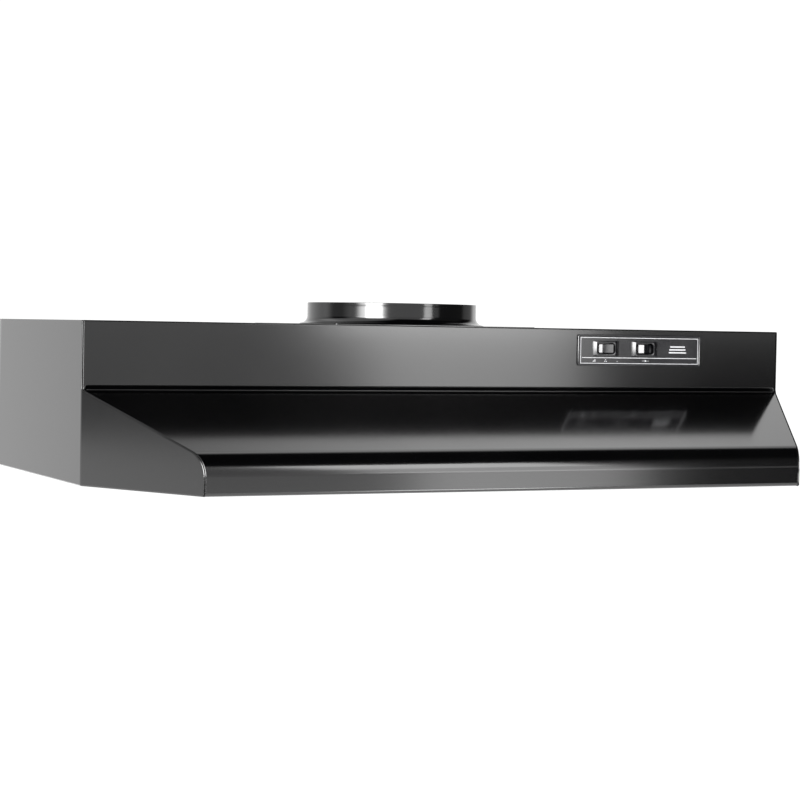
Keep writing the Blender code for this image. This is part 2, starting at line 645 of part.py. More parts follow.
def make_filter():
    y0, y1 = FILTER_Y
    z0, z1 = FILTER_Z
    frame = box("filter_frame", (-FILTER_HALF, y0, z0), (FILTER_HALF, y1, z1), "aluminium")
    edge = 0.009
    opening = box("filter_opening", (-FILTER_HALF + edge, y0 + edge, z0 - 0.004),
                  (FILTER_HALF - edge, y1 - edge, z1 + 0.004))
    py, pz = FILTER_PIVOT
    pins = [rod(f"filter_pin_{tag}", (a, py, pz), (b, py, pz), 0.0018, sides=16)
            for tag, a, b in (("left", -0.1377, -0.131), ("right", 0.131, 0.1377))]
    boolean(frame, pins, "UNION")
    eye_y, eye_z = -0.2500, z0 - 0.0026
    eyes = [box(f"ring_eye_{tag}", (x - 0.0015, eye_y - 0.003, eye_z - 0.0024),
                (x + 0.0015, eye_y + 0.003, z0 + 0.002)) for tag, x in (("left", -0.0115), ("right", 0.0115))]
    boolean(frame, eyes, "UNION")
    eye_bore = rod("ring_eye_bore", (-0.02, eye_y, eye_z), (0.02, eye_y, eye_z), 0.0013, sides=16)
    boolean(frame, [opening, eye_bore])

    middle = (z0 + z1) / 2
    box("filter_mesh", (-FILTER_HALF + edge + GAP, y0 + edge + GAP, middle - 0.0015),
        (FILTER_HALF - edge - GAP, y1 - edge - GAP, middle + 0.0015), "aluminium")

    radius = 0.0009
    half, drop = 0.0086, 0.014
    corner = arc(0, 0, 0.004, 0, 90, 3)
    lower = [(half - 0.004 + x, -drop + 0.004 - y) for x, y in corner]
    path = [(0.0135, 0.0), (half, 0.0), (half, -0.004), *lower]
    points = path + [(-x, z) for x, z in reversed(path)]
    ring = bpy.data.curves.new("filter_pull_ring", "CURVE")
    ring.dimensions = "3D"
    ring.bevel_depth = radius
    ring.bevel_resolution = 2
    ring.use_fill_caps = True
    spline = ring.splines.new("POLY")
    spline.points.add(len(points) - 1)
    for point, (x, z) in zip(spline.points, points):
        point.co = (x, 0, z, 1)
    obj = bpy.data.objects.new("filter_pull_ring", ring)
    obj.location = (0, eye_y, eye_z)
    PARTS.objects.link(obj)
    ring.materials.append(material("filter_pull_ring", "steel"))

    # The clip hangs from the fan box's front flange and hooks under the filter's front edge.
    clip_top = PLENUM_BOTTOM - SHEET - GAP
    front = PLENUM_FRONT - 0.008
    clip = [(front + 0.0005, clip_top), (front - 0.004, clip_top), (front - 0.004, z0 - 0.0012),
            (front + 0.007, z0 - 0.0012)]
    left = [(-0.030, y, z) for y, z in clip]
    right = [(-0.046, y, z) for y, z in clip]
    strip("filter_clip", right, left, "steel", 0.0007)


def make_filter_rail():
    """A rail behind the filter: it closes the gap to the rear wall and carries the two pivot ears."""
    top = PLENUM_BOTTOM - GAP
    front = -0.0325
    drop = -0.1075
    half = 0.1344
    verts = [(-half, -0.0045, top), (half, -0.0045, top), (-half, front, top), (half, front, top),
             (-half, front, drop), (half, front, drop), (-half, front - 0.008, top), (-half, front - 0.008, drop),
             (half, front - 0.008, top), (half, front - 0.008, drop)]
    faces = [(0, 2, 3, 1), (2, 4, 5, 3), (2, 6, 7, 4), (3, 5, 9, 8)]
    rail = sheet("filter_rail", verts, faces, "galvanized")
    py, pz = FILTER_PIVOT
    holes = [rod(f"ear_hole_{tag}", (a, py, pz), (b, py, pz), 0.0022, sides=16)
             for tag, a, b in (("left", -0.141, -0.130), ("right", 0.130, 0.141))]
    boolean(rail, holes)


# ---------------------------------------------------------------- light

def make_light():
    housing = open_box("lamp_housing", LAMP_LO, LAMP_HI, "galvanized", ("bottom",))
    hole = rod("lamp_lead_hole", (0.186, LAMP_LO.y - 0.004, -0.050), (0.186, LAMP_LO.y + 0.004, -0.050), 0.0040)
    boolean(housing, [hole])
    base = LAMP_LO.x + SHEET + GAP
    place = (base, BULB_Y, BULB_Z)
    turned("lamp_socket", [(0.0145, 0.034), (0.0175, 0.034), (0.0175, 0.0), (0, 0.0), (0, 0.006), (0.0145, 0.006)],
           place, "ceramic", axis="X", steps=28)
    thread = [(0, 0.0085), (0.006, 0.0085), (0.0128, 0.012), (0.0132, 0.034), (0.0150, 0.040),
              (0.0215, 0.052), (0.0275, 0.066)]
    globe = arc(0, 0, 0.0295, -10, 90, 7)
    globe = [(max(x, 0), 0.0775 + y) for x, y in globe]
    turned("lamp_bulb", (thread + globe[:-1] + [(0, globe[-1][1])])[::-1], place, "bulb", axis="X", steps=28)
    wall = 0.0016
    open_box("lamp_lens", (LAMP_LO.x - 0.002, LAMP_LO.y - 0.002, -0.1110),
             (LAMP_HI.x + 0.002, LAMP_HI.y + 0.0005, -0.0990), "lens", ("top",), wall)


# ---------------------------------------------------------------- wiring

def make_wiring():
    enclosure = open_box("wiring_box", BOX_LO, BOX_HI, "galvanized", ("bottom", "rear"))
    holes = [rod("motor_exit", (BOX_LO.x - 0.004, -0.062, -0.045), (BOX_LO.x + 0.004, -0.062, -0.045),
                 GROMMET_R),
             rod("switch_exit", (BOX_LO.x - 0.004, -0.085, -0.020), (BOX_LO.x + 0.004, -0.085, -0.020),
                 GROMMET_R)]
    boolean(enclosure, holes)
    z = BOX_LO.z - GAP - SHEET / 2
    cx = (BOX_LO.x + BOX_HI.x) / 2
    cy = (BOX_LO.y + BOX_HI.y) / 2
    cover = flat("wiring_cover", rounded_rectangle(0.066, 0.0535, 0.003), SHEET, (cx, cy, z), "galvanized")
    screw_x, screw_y = BOX_LO.x + 0.012, BOX_LO.y + 0.012
    hole = rod("cover_screw_hole", (screw_x, screw_y, z - 0.004), (screw_x, screw_y, z + 0.004), SCREW_HOLE_R,
               sides=16)
    boolean(cover, [hole])
    screw_profile = [(0, 0.006), (0.0020, 0.006), (0.0020, 0.0), (0.0042, 0.0), (0.0032, -0.0022), (0, -0.0028)]
    turned("wiring_cover_screw", screw_profile, (screw_x, screw_y, z - SHEET / 2 - GAP), "steel", steps=16)
    green = [(0, 0.0), (0.0042, 0.0), (0.0034, -0.0022), (0, -0.0028)]
    turned("ground_screw", green, (0.300, -0.070, BOX_HI.z - SHEET - GAP), "brass", steps=16)
    clamp = [(0.0075, -0.0004), (0.0106, -0.0004), (0.0106, -0.0011), (0.0140, -0.0011), (0.0140, -0.0032),
             (0.0106, -0.0032), (0.0100, -0.0150), (0.0075, -0.0150)]
    obj = turned("cable_clamp", [(r, -h) for r, h in reversed(clamp)], (CABLE_X, 0, CABLE_Z), "steel",
                 steps=24)
    obj.rotation_euler = (math.pi / 2, 0, 0)


def make_leads():
    cap = [(0, 0.020), (0.0035, 0.019), (0.0062, 0.002), (0.0066, 0.0), (0, 0.0)]
    places = (("wire_nut_motor", (0.230, -0.062, -0.045)), ("wire_nut_switch", (0.230, -0.085, -0.020)))
    for name, place in places:
        nut = turned(name, cap, place, "yellow_plastic", steps=16)
        nut.rotation_euler = (0, math.pi / 2, 0)
    wire("motor_lead", [(0.2297, -0.062, -0.045), (0.214, -0.062, -0.045), (0.200, -0.062, -0.045),
                        (0.180, -0.066, -0.048), (0.150, -0.084, -0.060), (0.128, -0.090, -0.062),
                        (0.105, -0.096, -0.064), (0.075, -0.116, -0.068), (0.056, -0.144, -0.068),
                        (0.050, -0.148, -0.068), (0.0438, -0.148, -0.068)], WIRE_R, "black_wire")
    wire("switch_lead", [(0.2297, -0.085, -0.020), (0.214, -0.085, -0.020), (0.200, -0.085, -0.020),
                         (0.176, -0.090, -0.018), (0.156, -0.110, -0.014), (0.150, -0.150, -0.012),
                         (0.150, -0.200, -0.012), (0.150, -0.245, -0.014), (0.154, -0.2630, -0.018),
                         (0.163, -0.2695, -0.020), (0.168, -0.2725, -0.020), (0.168, -0.2754, -0.020)],
         WIRE_R, "black_wire")
    wire("lamp_lead", [(0.214, -0.2752, -0.020), (0.214, -0.2722, -0.0205), (0.206, -0.2695, -0.034),
                       (0.194, -0.2705, -0.046), (0.187, -0.2690, -0.0500), (0.186, -0.2600, -0.0505),
                       (0.186, -0.2500, -0.0560), (0.186, -0.2410, -0.0640), (0.186, -0.2350, -0.0655)],
         WIRE_R, "black_wire")


make_wrap()
make_end_panel("left_end_panel", -1)
make_end_panel("right_end_panel", 1)
make_back()
make_collar()
make_damper()
make_switch_plate()
make_switch("fan", FAN_FRAME_X, FAN_ROCKER_X, 0.0)
make_switch("light", LIGHT_FRAME_X, LIGHT_ROCKER_X, LIGHT_REST)
make_plenum()
make_venturi()
make_motor()
make_blade()
make_filter()
make_filter_rail()
make_light()
make_wiring()
make_leads()
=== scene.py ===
"""Looks of the under cabinet range hood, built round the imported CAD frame. Metres, the CAD's own frame."""

import json
import math

import bmesh
import bpy
from mathutils import Matrix, Vector


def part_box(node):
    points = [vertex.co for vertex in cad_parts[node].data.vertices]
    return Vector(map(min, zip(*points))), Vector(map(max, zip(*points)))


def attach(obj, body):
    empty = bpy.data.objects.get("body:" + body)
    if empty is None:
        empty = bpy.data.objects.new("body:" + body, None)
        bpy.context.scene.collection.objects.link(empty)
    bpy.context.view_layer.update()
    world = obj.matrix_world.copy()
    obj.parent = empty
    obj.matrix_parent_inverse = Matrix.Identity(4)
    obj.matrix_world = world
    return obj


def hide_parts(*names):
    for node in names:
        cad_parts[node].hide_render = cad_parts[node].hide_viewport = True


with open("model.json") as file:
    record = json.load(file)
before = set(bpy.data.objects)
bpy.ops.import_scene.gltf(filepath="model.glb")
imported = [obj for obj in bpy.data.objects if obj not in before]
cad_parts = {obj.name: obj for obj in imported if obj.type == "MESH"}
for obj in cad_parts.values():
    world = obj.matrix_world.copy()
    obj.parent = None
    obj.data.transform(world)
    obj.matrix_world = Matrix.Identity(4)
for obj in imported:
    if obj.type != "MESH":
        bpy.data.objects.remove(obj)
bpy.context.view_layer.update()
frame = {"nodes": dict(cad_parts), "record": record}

# ---------------------------------------------------------------- sizes, from the CAD frame

panel_lo, panel_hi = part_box("right_end_panel")
plate_lo, plate_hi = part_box("switch_plate")
HALF = panel_hi.x
TOP = panel_hi.z
BOTTOM = panel_lo.z
REAR = panel_hi.y
LIP_Y = panel_lo.y
PLATE_GAP = 0.0003
FRONT_Y = plate_hi.y + PLATE_GAP
REACH = FRONT_Y - LIP_Y
MITRE_INSET = 0.06905
LIP_HALF = HALF - MITRE_INSET
MITRE = math.atan2(HALF - LIP_HALF, REACH)

# the upper panel, the recess under it, the small step below that and the visor
PANEL_BOTTOM = TOP - 0.0600
RECESS_DEPTH = 0.0045
STEP_DEPTH = 0.0006
STEP_HEIGHT = 0.00032
STEP_LEAN = 0.12
VISOR_TOP = TOP - 0.06425
VISOR_SLOPE = 0.381

# bend radii along the outline
TOP_BEND = 0.0016
PANEL_BEND = 0.0008
GROOVE_BEND = 0.0004
STEP_BEND = 0.0001
CORNER_SWEEP = 0.0050
NOSE_RADIUS = 0.0238
HEM_RADIUS = 0.0036

# the sheets, and the edges on each side of the seam between the wrap and an end panel
WRAP_SHEET = 0.0006
END_SHEET = 0.0005
SEAM_SET_BACK = 0.0017
SEAM_RETURN = 0.0012
WRAP_EDGE_R = 0.0006
PANEL_EDGE_R = 0.0009
PANEL_EDGE_SHARE = 0.70

# the wrap's mesh: where it dips into the recess, measured from its edge, and its columns and rows
DIP_INSETS = (0.0004, 0.0008, 0.0012, 0.0017, 0.0023, 0.0030, 0.0040)
FACE_COLUMNS = 24
STATION_STEP = 0.012

# an end panel's rolled bottom edge, its flange and the fold where it turns in
END_HEM = 0.0016
END_FLANGE = 0.0080
END_FLANGE_AT_LIP = 0.0006
END_LOW = BOTTOM + END_HEM
TIP_Y = LIP_Y + 0.0125
FOLD_REACH = 0.0012
FOLD_STEPS = 4
FLAT_BORDER = 0.0001

# holes in the wrap
CUT_REACH = 0.006
COLLAR_HOLE_R = 0.0885
KEYHOLES = ((-0.30, -0.272), (0.30, -0.272), (-0.30, -0.040), (0.355, -0.040))
KEYHOLE_HEAD_R = 0.0055
KEYHOLE_SLOT_R = 0.0025
KEYHOLE_REACH = 0.0115

# the collar
COLLAR_R = 0.0888
COLLAR_WALL = 0.0008
COLLAR_FLARE = 0.0075
COLLAR_PLATE_TOP = TOP + 0.0005
COLLAR_PLATE_HOLE_R = 0.0872
SPINDLE_REACH = 0.0876
SPINDLE_CHAMFER = 0.0003

# the switch plate
PLATE_FIELD_Y = plate_lo.y + 0.0007
INK_HEIGHT = 0.00006
BORDER_LINE = 0.00062


# ---------------------------------------------------------------- node helpers

def new_material(name):
    mat = bpy.data.materials.new(name)
    mat.use_nodes = True
    nodes = mat.node_tree.nodes
    nodes.clear()
    out = nodes.new("ShaderNodeOutputMaterial")
    shader = nodes.new("ShaderNodeBsdfPrincipled")
    mat.node_tree.links.new(shader.outputs[0], out.inputs[0])
    return mat, nodes, mat.node_tree.links, shader


def object_coordinates(nodes, links, scale=(1, 1, 1)):
    coords = nodes.new("ShaderNodeTexCoord")
    mapping = nodes.new("ShaderNodeMapping")
    mapping.inputs["Scale"].default_value = scale
    links.new(coords.outputs["Object"], mapping.inputs["Vector"])
    return mapping.outputs["Vector"]


def noise(nodes, links, vector, scale, detail=3.0, roughness=0.55):
    node = nodes.new("ShaderNodeTexNoise")
    node.inputs["Scale"].default_value = scale
    node.inputs["Detail"].default_value = detail
    node.inputs["Roughness"].default_value = roughness
    links.new(vector, node.inputs["Vector"])
    return node.outputs["Fac"]


def ramp_value(nodes, links, source, low, high, from_low=0.3, from_high=0.7):
    node = nodes.new("ShaderNodeMapRange")
    node.inputs["From Min"].default_value = from_low
    node.inputs["From Max"].default_value = from_high
    node.inputs["To Min"].default_value = low
    node.inputs["To Max"].default_value = high
    links.new(source, node.inputs["Value"])
    return node.outputs["Result"]


def ramp_color(nodes, links, source, low, high, from_low=0.3, from_high=0.7):
    node = nodes.new("ShaderNodeValToRGB")
    node.color_ramp.elements[0].position = from_low
    node.color_ramp.elements[0].color = (*low, 1)
    node.color_ramp.elements[1].position = from_high
    node.color_ramp.elements[1].color = (*high, 1)
    links.new(source, node.inputs["Fac"])
    return node.outputs["Color"]


def bump(nodes, links, height, distance, strength=1.0, normal=None):
    node = nodes.new("ShaderNodeBump")
    node.inputs["Distance"].default_value = distance
    node.inputs["Strength"].default_value = strength
    links.new(height, node.inputs["Height"])
    if normal:
        links.new(normal, node.inputs["Normal"])
    return node.outputs["Normal"]


# ---------------------------------------------------------------- materials

def black_enamel():
    """Baked gloss black: a deep even coat, faint orange peel, and a little dust that dulls it unevenly."""
    mat, nodes, links, shader = new_material("black_enamel")
    vector = object_coordinates(nodes, links)
    haze = noise(nodes, links, vector, 9.0, 4.0)
    peel = noise(nodes, links, vector, 900.0, 1.0)
    sheet_wave = noise(nodes, links, vector, 3.5, 0.0)
    specks = noise(nodes, links, vector, 2600.0, 2.0)
    links.new(ramp_color(nodes, links, haze, (0.0003, 0.0003, 0.0004), (0.0007, 0.0007, 0.0008)),
              shader.inputs["Base Color"])
    links.new(ramp_value(nodes, links, haze, 0.115, 0.135), shader.inputs["Roughness"])
    shader.inputs["IOR"].default_value = 1.56
    shader.inputs["Coat Weight"].default_value = 0.0
    low = bump(nodes, links, sheet_wave, 0.00022)
    mid = bump(nodes, links, peel, 0.0000012, normal=low)
    links.new(bump(nodes, links, specks, 0.0000004, normal=mid), shader.inputs["Normal"])
    return mat


def galvanized():
    """Zinc coat with its crystal flakes and a few duller stains."""
    mat, nodes, links, shader = new_material("galvanized")
    vector = object_coordinates(nodes, links)
    spangle = nodes.new("ShaderNodeTexVoronoi")
    spangle.inputs["Scale"].default_value = 130.0
    links.new(vector, spangle.inputs["Vector"])
    stain = noise(nodes, links, vector, 22.0, 4.0)
    flakes = ramp_color(nodes, links, spangle.outputs["Color"], (0.44, 0.45, 0.47), (0.66, 0.67, 0.69),
                        0.1, 0.9)
    links.new(flakes, shader.inputs["Base Color"])
    links.new(ramp_value(nodes, links, stain, 0.28, 0.46), shader.inputs["Roughness"])
    shader.inputs["Metallic"].default_value = 1.0
    links.new(bump(nodes, links, spangle.outputs["Distance"], 0.00002, 0.4), shader.inputs["Normal"])
    return mat


def brushed(name, low, high, stretch, rough_low, rough_high):
    """Metal with fine drawn lines along its stretch."""
    mat, nodes, links, shader = new_material(name)
    lines = noise(nodes, links, object_coordinates(nodes, links, stretch), 900.0, 3.0)
    stain = noise(nodes, links, object_coordinates(nodes, links), 40.0, 3.0)
    links.new(ramp_color(nodes, links, lines, low, high), shader.inputs["Base Color"])
    links.new(ramp_value(nodes, links, stain, rough_low, rough_high), shader.inputs["Roughness"])
    shader.inputs["Metallic"].default_value = 1.0
    links.new(bump(nodes, links, lines, 0.000008, 0.5), shader.inputs["Normal"])
    return mat


def moulded(name, low, high, rough_low, rough_high, grain, depth):
    """Moulded or fired material with a fine surface grain."""
    mat, nodes, links, shader = new_material(name)
    vector = object_coordinates(nodes, links)
    grains = noise(nodes, links, vector, grain, 2.0)
    cloud = noise(nodes, links, vector, 35.0, 3.0)
    links.new(ramp_color(nodes, links, cloud, low, high), shader.inputs["Base Color"])
    links.new(ramp_value(nodes, links, cloud, rough_low, rough_high), shader.inputs["Roughness"])
    links.new(bump(nodes, links, grains, depth, 0.6), shader.inputs["Normal"])
    return mat


def copper_winding():
    """Enamelled wire wound in close turns."""
    mat, nodes, links, shader = new_material("copper")
    wave = nodes.new("ShaderNodeTexWave")
    wave.bands_direction = "Z"
    wave.inputs["Scale"].default_value = 420.0
    wave.inputs["Distortion"].default_value = 1.2
    links.new(object_coordinates(nodes, links), wave.inputs["Vector"])
    links.new(ramp_color(nodes, links, wave.outputs["Fac"], (0.20, 0.06, 0.02), (0.70, 0.28, 0.12)),
              shader.inputs["Base Color"])
    links.new(ramp_value(nodes, links, wave.outputs["Fac"], 0.5, 0.28), shader.inputs["Roughness"])
    shader.inputs["Metallic"].default_value = 0.9
    links.new(bump(nodes, links, wave.outputs["Fac"], 0.0001, 0.7), shader.inputs["Normal"])
    return mat


def lens_plastic():
    """Frosted clear plastic, a little cloudy."""
    mat, nodes, links, shader = new_material("lens")
    vector = object_coordinates(nodes, links)
    cloud = noise(nodes, links, vector, 60.0, 3.0)
    links.new(ramp_color(nodes, links, cloud, (0.80, 0.82, 0.80), (0.92, 0.93, 0.91)),
              shader.inputs["Base Color"])
    links.new(ramp_value(nodes, links, cloud, 0.22, 0.34), shader.inputs["Roughness"])
    shader.inputs["Transmission Weight"].default_value = 0.55
    shader.inputs["IOR"].default_value = 1.49
    frost = noise(nodes, links, vector, 420.0)
    links.new(bump(nodes, links, frost, 0.00008, 0.5), shader.inputs["Normal"])
    return mat


def bulb_glass():
    """Frosted glass with a soft white coat inside."""
    mat, nodes, links, shader = new_material("bulb")
    vector = object_coordinates(nodes, links)
    cloud = noise(nodes, links, vector, 45.0, 2.0)
    links.new(ramp_color(nodes, links, cloud, (0.86, 0.85, 0.82), (0.94, 0.93, 0.90)),
              shader.inputs["Base Color"])
    links.new(ramp_value(nodes, links, cloud, 0.18, 0.26), shader.inputs["Roughness"])
    shader.inputs["Transmission Weight"].default_value = 0.15
    frost = noise(nodes, links, vector, 1500.0)
    links.new(bump(nodes, links, frost, 0.000004, 0.6), shader.inputs["Normal"])
    return mat


def print_ink():
    """Pale silver ink, slightly uneven where it was screened on."""
    mat, nodes, links, shader = new_material("print_ink")
    vector = object_coordinates(nodes, links)
    cloud = noise(nodes, links, vector, 700.0, 2.0)
    links.new(ramp_color(nodes, links, cloud, (0.30, 0.30, 0.31), (0.42, 0.42, 0.43)),
              shader.inputs["Base Color"])
    links.new(ramp_value(nodes, links, cloud, 0.35, 0.5), shader.inputs["Roughness"])
    return mat


MATERIALS = {
    "black_enamel": black_enamel(),
    "galvanized": galvanized(),
    "aluminium": brushed("aluminium", (0.62, 0.62, 0.63), (0.82, 0.82, 0.83), (1, 14, 14), 0.28, 0.42),
    "steel": brushed("steel", (0.42, 0.42, 0.44), (0.62, 0.62, 0.64), (1, 1, 10), 0.22, 0.36),
    "copper": copper_winding(),
    "black_plastic": moulded("black_plastic", (0.003, 0.003, 0.004), (0.006, 0.006, 0.007), 0.14, 0.19,
                             2400.0, 0.000006),
    "lens": lens_plastic(),
    "bulb": bulb_glass(),
    "ceramic": moulded("ceramic", (0.80, 0.77, 0.71), (0.90, 0.88, 0.84), 0.35, 0.5, 600.0, 0.00003),
    "black_wire": moulded("black_wire", (0.014, 0.014, 0.015), (0.028, 0.028, 0.03), 0.42, 0.55,
                          900.0, 0.00001),
    "brass": brushed("brass", (0.55, 0.40, 0.16), (0.78, 0.62, 0.30), (1, 1, 8), 0.24, 0.38),
    "yellow_plastic": moulded("yellow_plastic", (0.72, 0.48, 0.05), (0.86, 0.62, 0.09), 0.38, 0.5,
                              900.0, 0.00002),
    "print_ink": print_ink(),
}


def use(obj, slot):
    obj.data.materials.clear()
    obj.data.materials.append(MATERIALS[slot])


# ---------------------------------------------------------------- mesh helpers

def piece(name, bm, slot, body="hood", replaces=(), angle=40):
    """Turn a bmesh into a named piece that rides on a body."""
    bmesh.ops.remove_doubles(bm, verts=bm.verts, dist=0.000002)
    mesh = bpy.data.meshes.new(name)
    bm.to_mesh(mesh)
    bm.free()
    mesh.shade_smooth()
    mesh.set_sharp_from_angle(angle=math.radians(angle))
    obj = bpy.data.objects.new(name, mesh)
    bpy.context.scene.collection.objects.link(obj)
    use(obj, slot)
    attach(obj, body)
    if replaces:
        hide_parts(*replaces)
    return obj


def settle(obj):
    """Apply an object's modifiers to its mesh."""
    depsgraph = bpy.context.evaluated_depsgraph_get()
    depsgraph.update()
    mesh = bpy.data.meshes.new_from_object(obj.evaluated_get(depsgraph))
    obj.modifiers.clear()
    obj.data = mesh


def thicken(obj, thickness, even=True):
    """Give a sheet its thickness, inward from its outer face."""
    shell = obj.modifiers.new("sheet", "SOLIDIFY")
    shell.thickness = thickness
    shell.offset = -1
    shell.use_even_offset = even


def weight_normals(obj):
    weighted = obj.modifiers.new("normals", "WEIGHTED_NORMAL")
    weighted.keep_sharp = True
    weighted.weight = 100


def grid_faces(bm, rows, closed=False, flip=False):
    """Faces between rows of vertices of equal length. Where rows share a vertex, the face is a triangle."""
    for first, second in zip(rows, rows[1:]):
        count = len(first)
        for i in range(count if closed else count - 1):
            j = (i + 1) % count
            ring = list(dict.fromkeys((first[i], first[j], second[j], second[i])))
            if len(ring) > 2:
                bm.faces.new(ring[::-1] if flip else ring)


def add_rows(bm, rows):
    return [[bm.verts.new(p) for p in row] for row in rows]


def arc(cx, cy, radius, start, end, steps):
    angles = [math.radians(start + (end - start) * i / steps) for i in range(steps + 1)]
    return [(cx + radius * math.cos(a), cy + radius * math.sin(a)) for a in angles]


def circle(cx, cy, radius, count):
    return arc(cx, cy, radius, 0, 360 - 360 / count, count - 1)


def rounded_rectangle(half_x, half_y, radius, steps=6):
    """Points round a rectangle with round corners, anticlockwise from the right side."""
    corners = ((1, 1, 0), (-1, 1, 90), (-1, -1, 180), (1, -1, 270))
    points = []
    for sx, sy, angle in corners:
        points += arc(sx * (half_x - radius), sy * (half_y - radius), radius, angle, angle + 90, steps)
    return points


def cut(obj, cutters):
    """Cut solids out of a piece and drop them."""
    for cutter in cutters:
        step = obj.modifiers.new("cut", "BOOLEAN")
        step.operation = "DIFFERENCE"
        step.solver = "EXACT"
        step.object = cutter
    settle(obj)
    for cutter in cutters:
        bpy.data.objects.remove(cutter, do_unlink=True)


def on_top(x, y, height):
    return x, y, TOP + height


def on_front(x, z, depth):
    return x, FRONT_Y + depth, z


def cutter_from(outline, place):
    """A prism for cutting through a sheet: a flat outline on both sides of it, placed by a function."""
    bm = bmesh.new()
    rows = add_rows(bm, [[place(x, y, away) for x, y in outline] for away in (-CUT_REACH, CUT_REACH)])
    grid_faces(bm, rows, closed=True)
    bm.faces.new(rows[0][::-1])
    bm.faces.new(rows[1])
    bmesh.ops.recalc_face_normals(bm, faces=bm.faces)
    mesh = bpy.data.meshes.new("cutter")
    bm.to_mesh(mesh)
    bm.free()
    obj = bpy.data.objects.new("cutter", mesh)
    bpy.context.scene.collection.objects.link(obj)
    return obj


# ---------------------------------------------------------------- the hood's outline

def visor_z(y):
    return VISOR_TOP + VISOR_SLOPE * (y - FRONT_Y)


def mitre_half(y):
    reach = min(max(0.0, FRONT_Y - y) / REACH, 1.0)
    return HALF - (HALF - LIP_HALF) * reach


def round_corner(before, corner, after, radius, steps):
    """Stations of an arc that rounds a corner of the outline. A station is (point, outward normal, inner):
    inner is None, or the corner, the way in from it and the radius where the outline bends outward."""
    corner = Vector(corner)
    u, v = (Vector(before) - corner).normalized(), (Vector(after) - corner).normalized()
    turn = u.angle(v)
    reach = radius / math.tan(turn / 2)
    start, end = corner + u * reach, corner + v * reach
    centre = corner + (u + v).normalized() * (radius / math.sin(turn / 2))
    convex = (-u).cross(v) > 0
    a0 = math.atan2(start.y - centre.y, start.x - centre.x)
    a1 = math.atan2(end.y - centre.y, end.x - centre.x)
    sweep = (a1 - a0 + math.pi) % (2 * math.pi) - math.pi
    inner = (corner, (u + v).normalized() / math.sin(turn / 2), radius) if convex else None
    stations = []
    for i in range(steps + 1):
        a = a0 + sweep * i / steps
        direction = Vector((math.cos(a), math.sin(a)))
        stations.append((centre + direction * radius, direction if convex else -direction, inner))
    return stations


def straight_station(place, heading):
    """A station on a straight stretch. Out of the hood is on the right hand of the way along the outline."""
    return Vector(place), Vector((heading.y, -heading.x)).normalized(), None


def hood_outline(recess):
    """Stations from the top's rear edge to the bottom flange, with or without the recess under the panel."""
    visor_start = (FRONT_Y, visor_z(FRONT_Y))
    lip_top = (LIP_Y, visor_z(LIP_Y))
    rear, front_top, foot = (REAR, TOP), (FRONT_Y, TOP), (LIP_Y, BOTTOM)
    stations = [straight_station(rear, Vector(front_top) - Vector(rear))]
    panel_foot = (FRONT_Y, PANEL_BOTTOM) if recess else visor_start
    stations += round_corner(rear, front_top, panel_foot, TOP_BEND, 6)
    if recess:
        step_y = FRONT_Y + STEP_DEPTH
        step_foot = (step_y, visor_z(step_y))
        step_head = (step_y - STEP_HEIGHT * STEP_LEAN, step_foot[1] + STEP_HEIGHT)
        back = (FRONT_Y + RECESS_DEPTH, PANEL_BOTTOM)
        stations += round_corner(front_top, panel_foot, back, PANEL_BEND, 8)
        stations += round_corner(panel_foot, back, step_head, GROOVE_BEND, 3)
        stations += round_corner(back, step_head, step_foot, STEP_BEND, 3)
        stations += round_corner(step_head, step_foot, lip_top, STEP_BEND, 3)
    else:
        stations += round_corner(front_top, visor_start, lip_top, CORNER_SWEEP, 20)
    stations += round_corner(visor_start, lip_top, foot, NOSE_RADIUS, 22)
    end = (LIP_Y + 0.009, BOTTOM)
    stations += round_corner(lip_top, foot, end, HEM_RADIUS, 10)
    stations.append(straight_station(end, Vector(end) - Vector(foot)))
    return stations


def subdivide(stations, counts):
    """Add stations on the long straight stretches."""
    filled = [stations[0]]
    for first, second, count in zip(stations, stations[1:], counts):
        for i in range(1, count):
            filled.append((first[0].lerp(second[0], i / count), first[1], None))
        filled.append(second)
    return filled


def inside(station, depth):
    """The place at a depth behind the outline. Deeper than a bend's radius it is on the corner's bisector."""
    point, normal, inner = station
    if inner and depth > inner[2]:
        corner, toward, _ = inner
        return corner + toward * depth
    return point - normal * depth


RECESSED = hood_outline(True)
PLAIN = hood_outline(False)
COUNTS = [max(1, int((b[0] - a[0]).length / STATION_STEP)) for a, b in zip(RECESSED, RECESSED[1:])]
RECESSED = subdivide(RECESSED, COUNTS)
PLAIN = subdivide(PLAIN, COUNTS)


def slerp(a, b, t):
    """The unit vector a share of the way round from one to another."""
    angle = a.angle(b)
    if angle < 0.001:
        return a.copy()
    return (a * math.sin((1 - t) * angle) + b * math.sin(t * angle)) / math.sin(angle)


# ---------------------------------------------------------------- hood shell

def quarter(radius, share_from, share_to, steps):
    """An edge rounding as (inset from the side, depth behind the face) pairs, from the side to the face."""
    angles = [math.pi / 2 * (share_from + (share_to - share_from) * i / steps) for i in range(steps + 1)]
    return [(radius * (1 - math.cos(a)), radius * (1 - math.sin(a))) for a in angles]


def edge_points(station, section, side):
    """Place an edge's section at one station of the outline, along the side plane."""
    points = []
    for inset, depth in section:
        y, z = inside(station, depth)
        points.append(Vector((side * (mitre_half(y) - inset), y, z)))
    return points


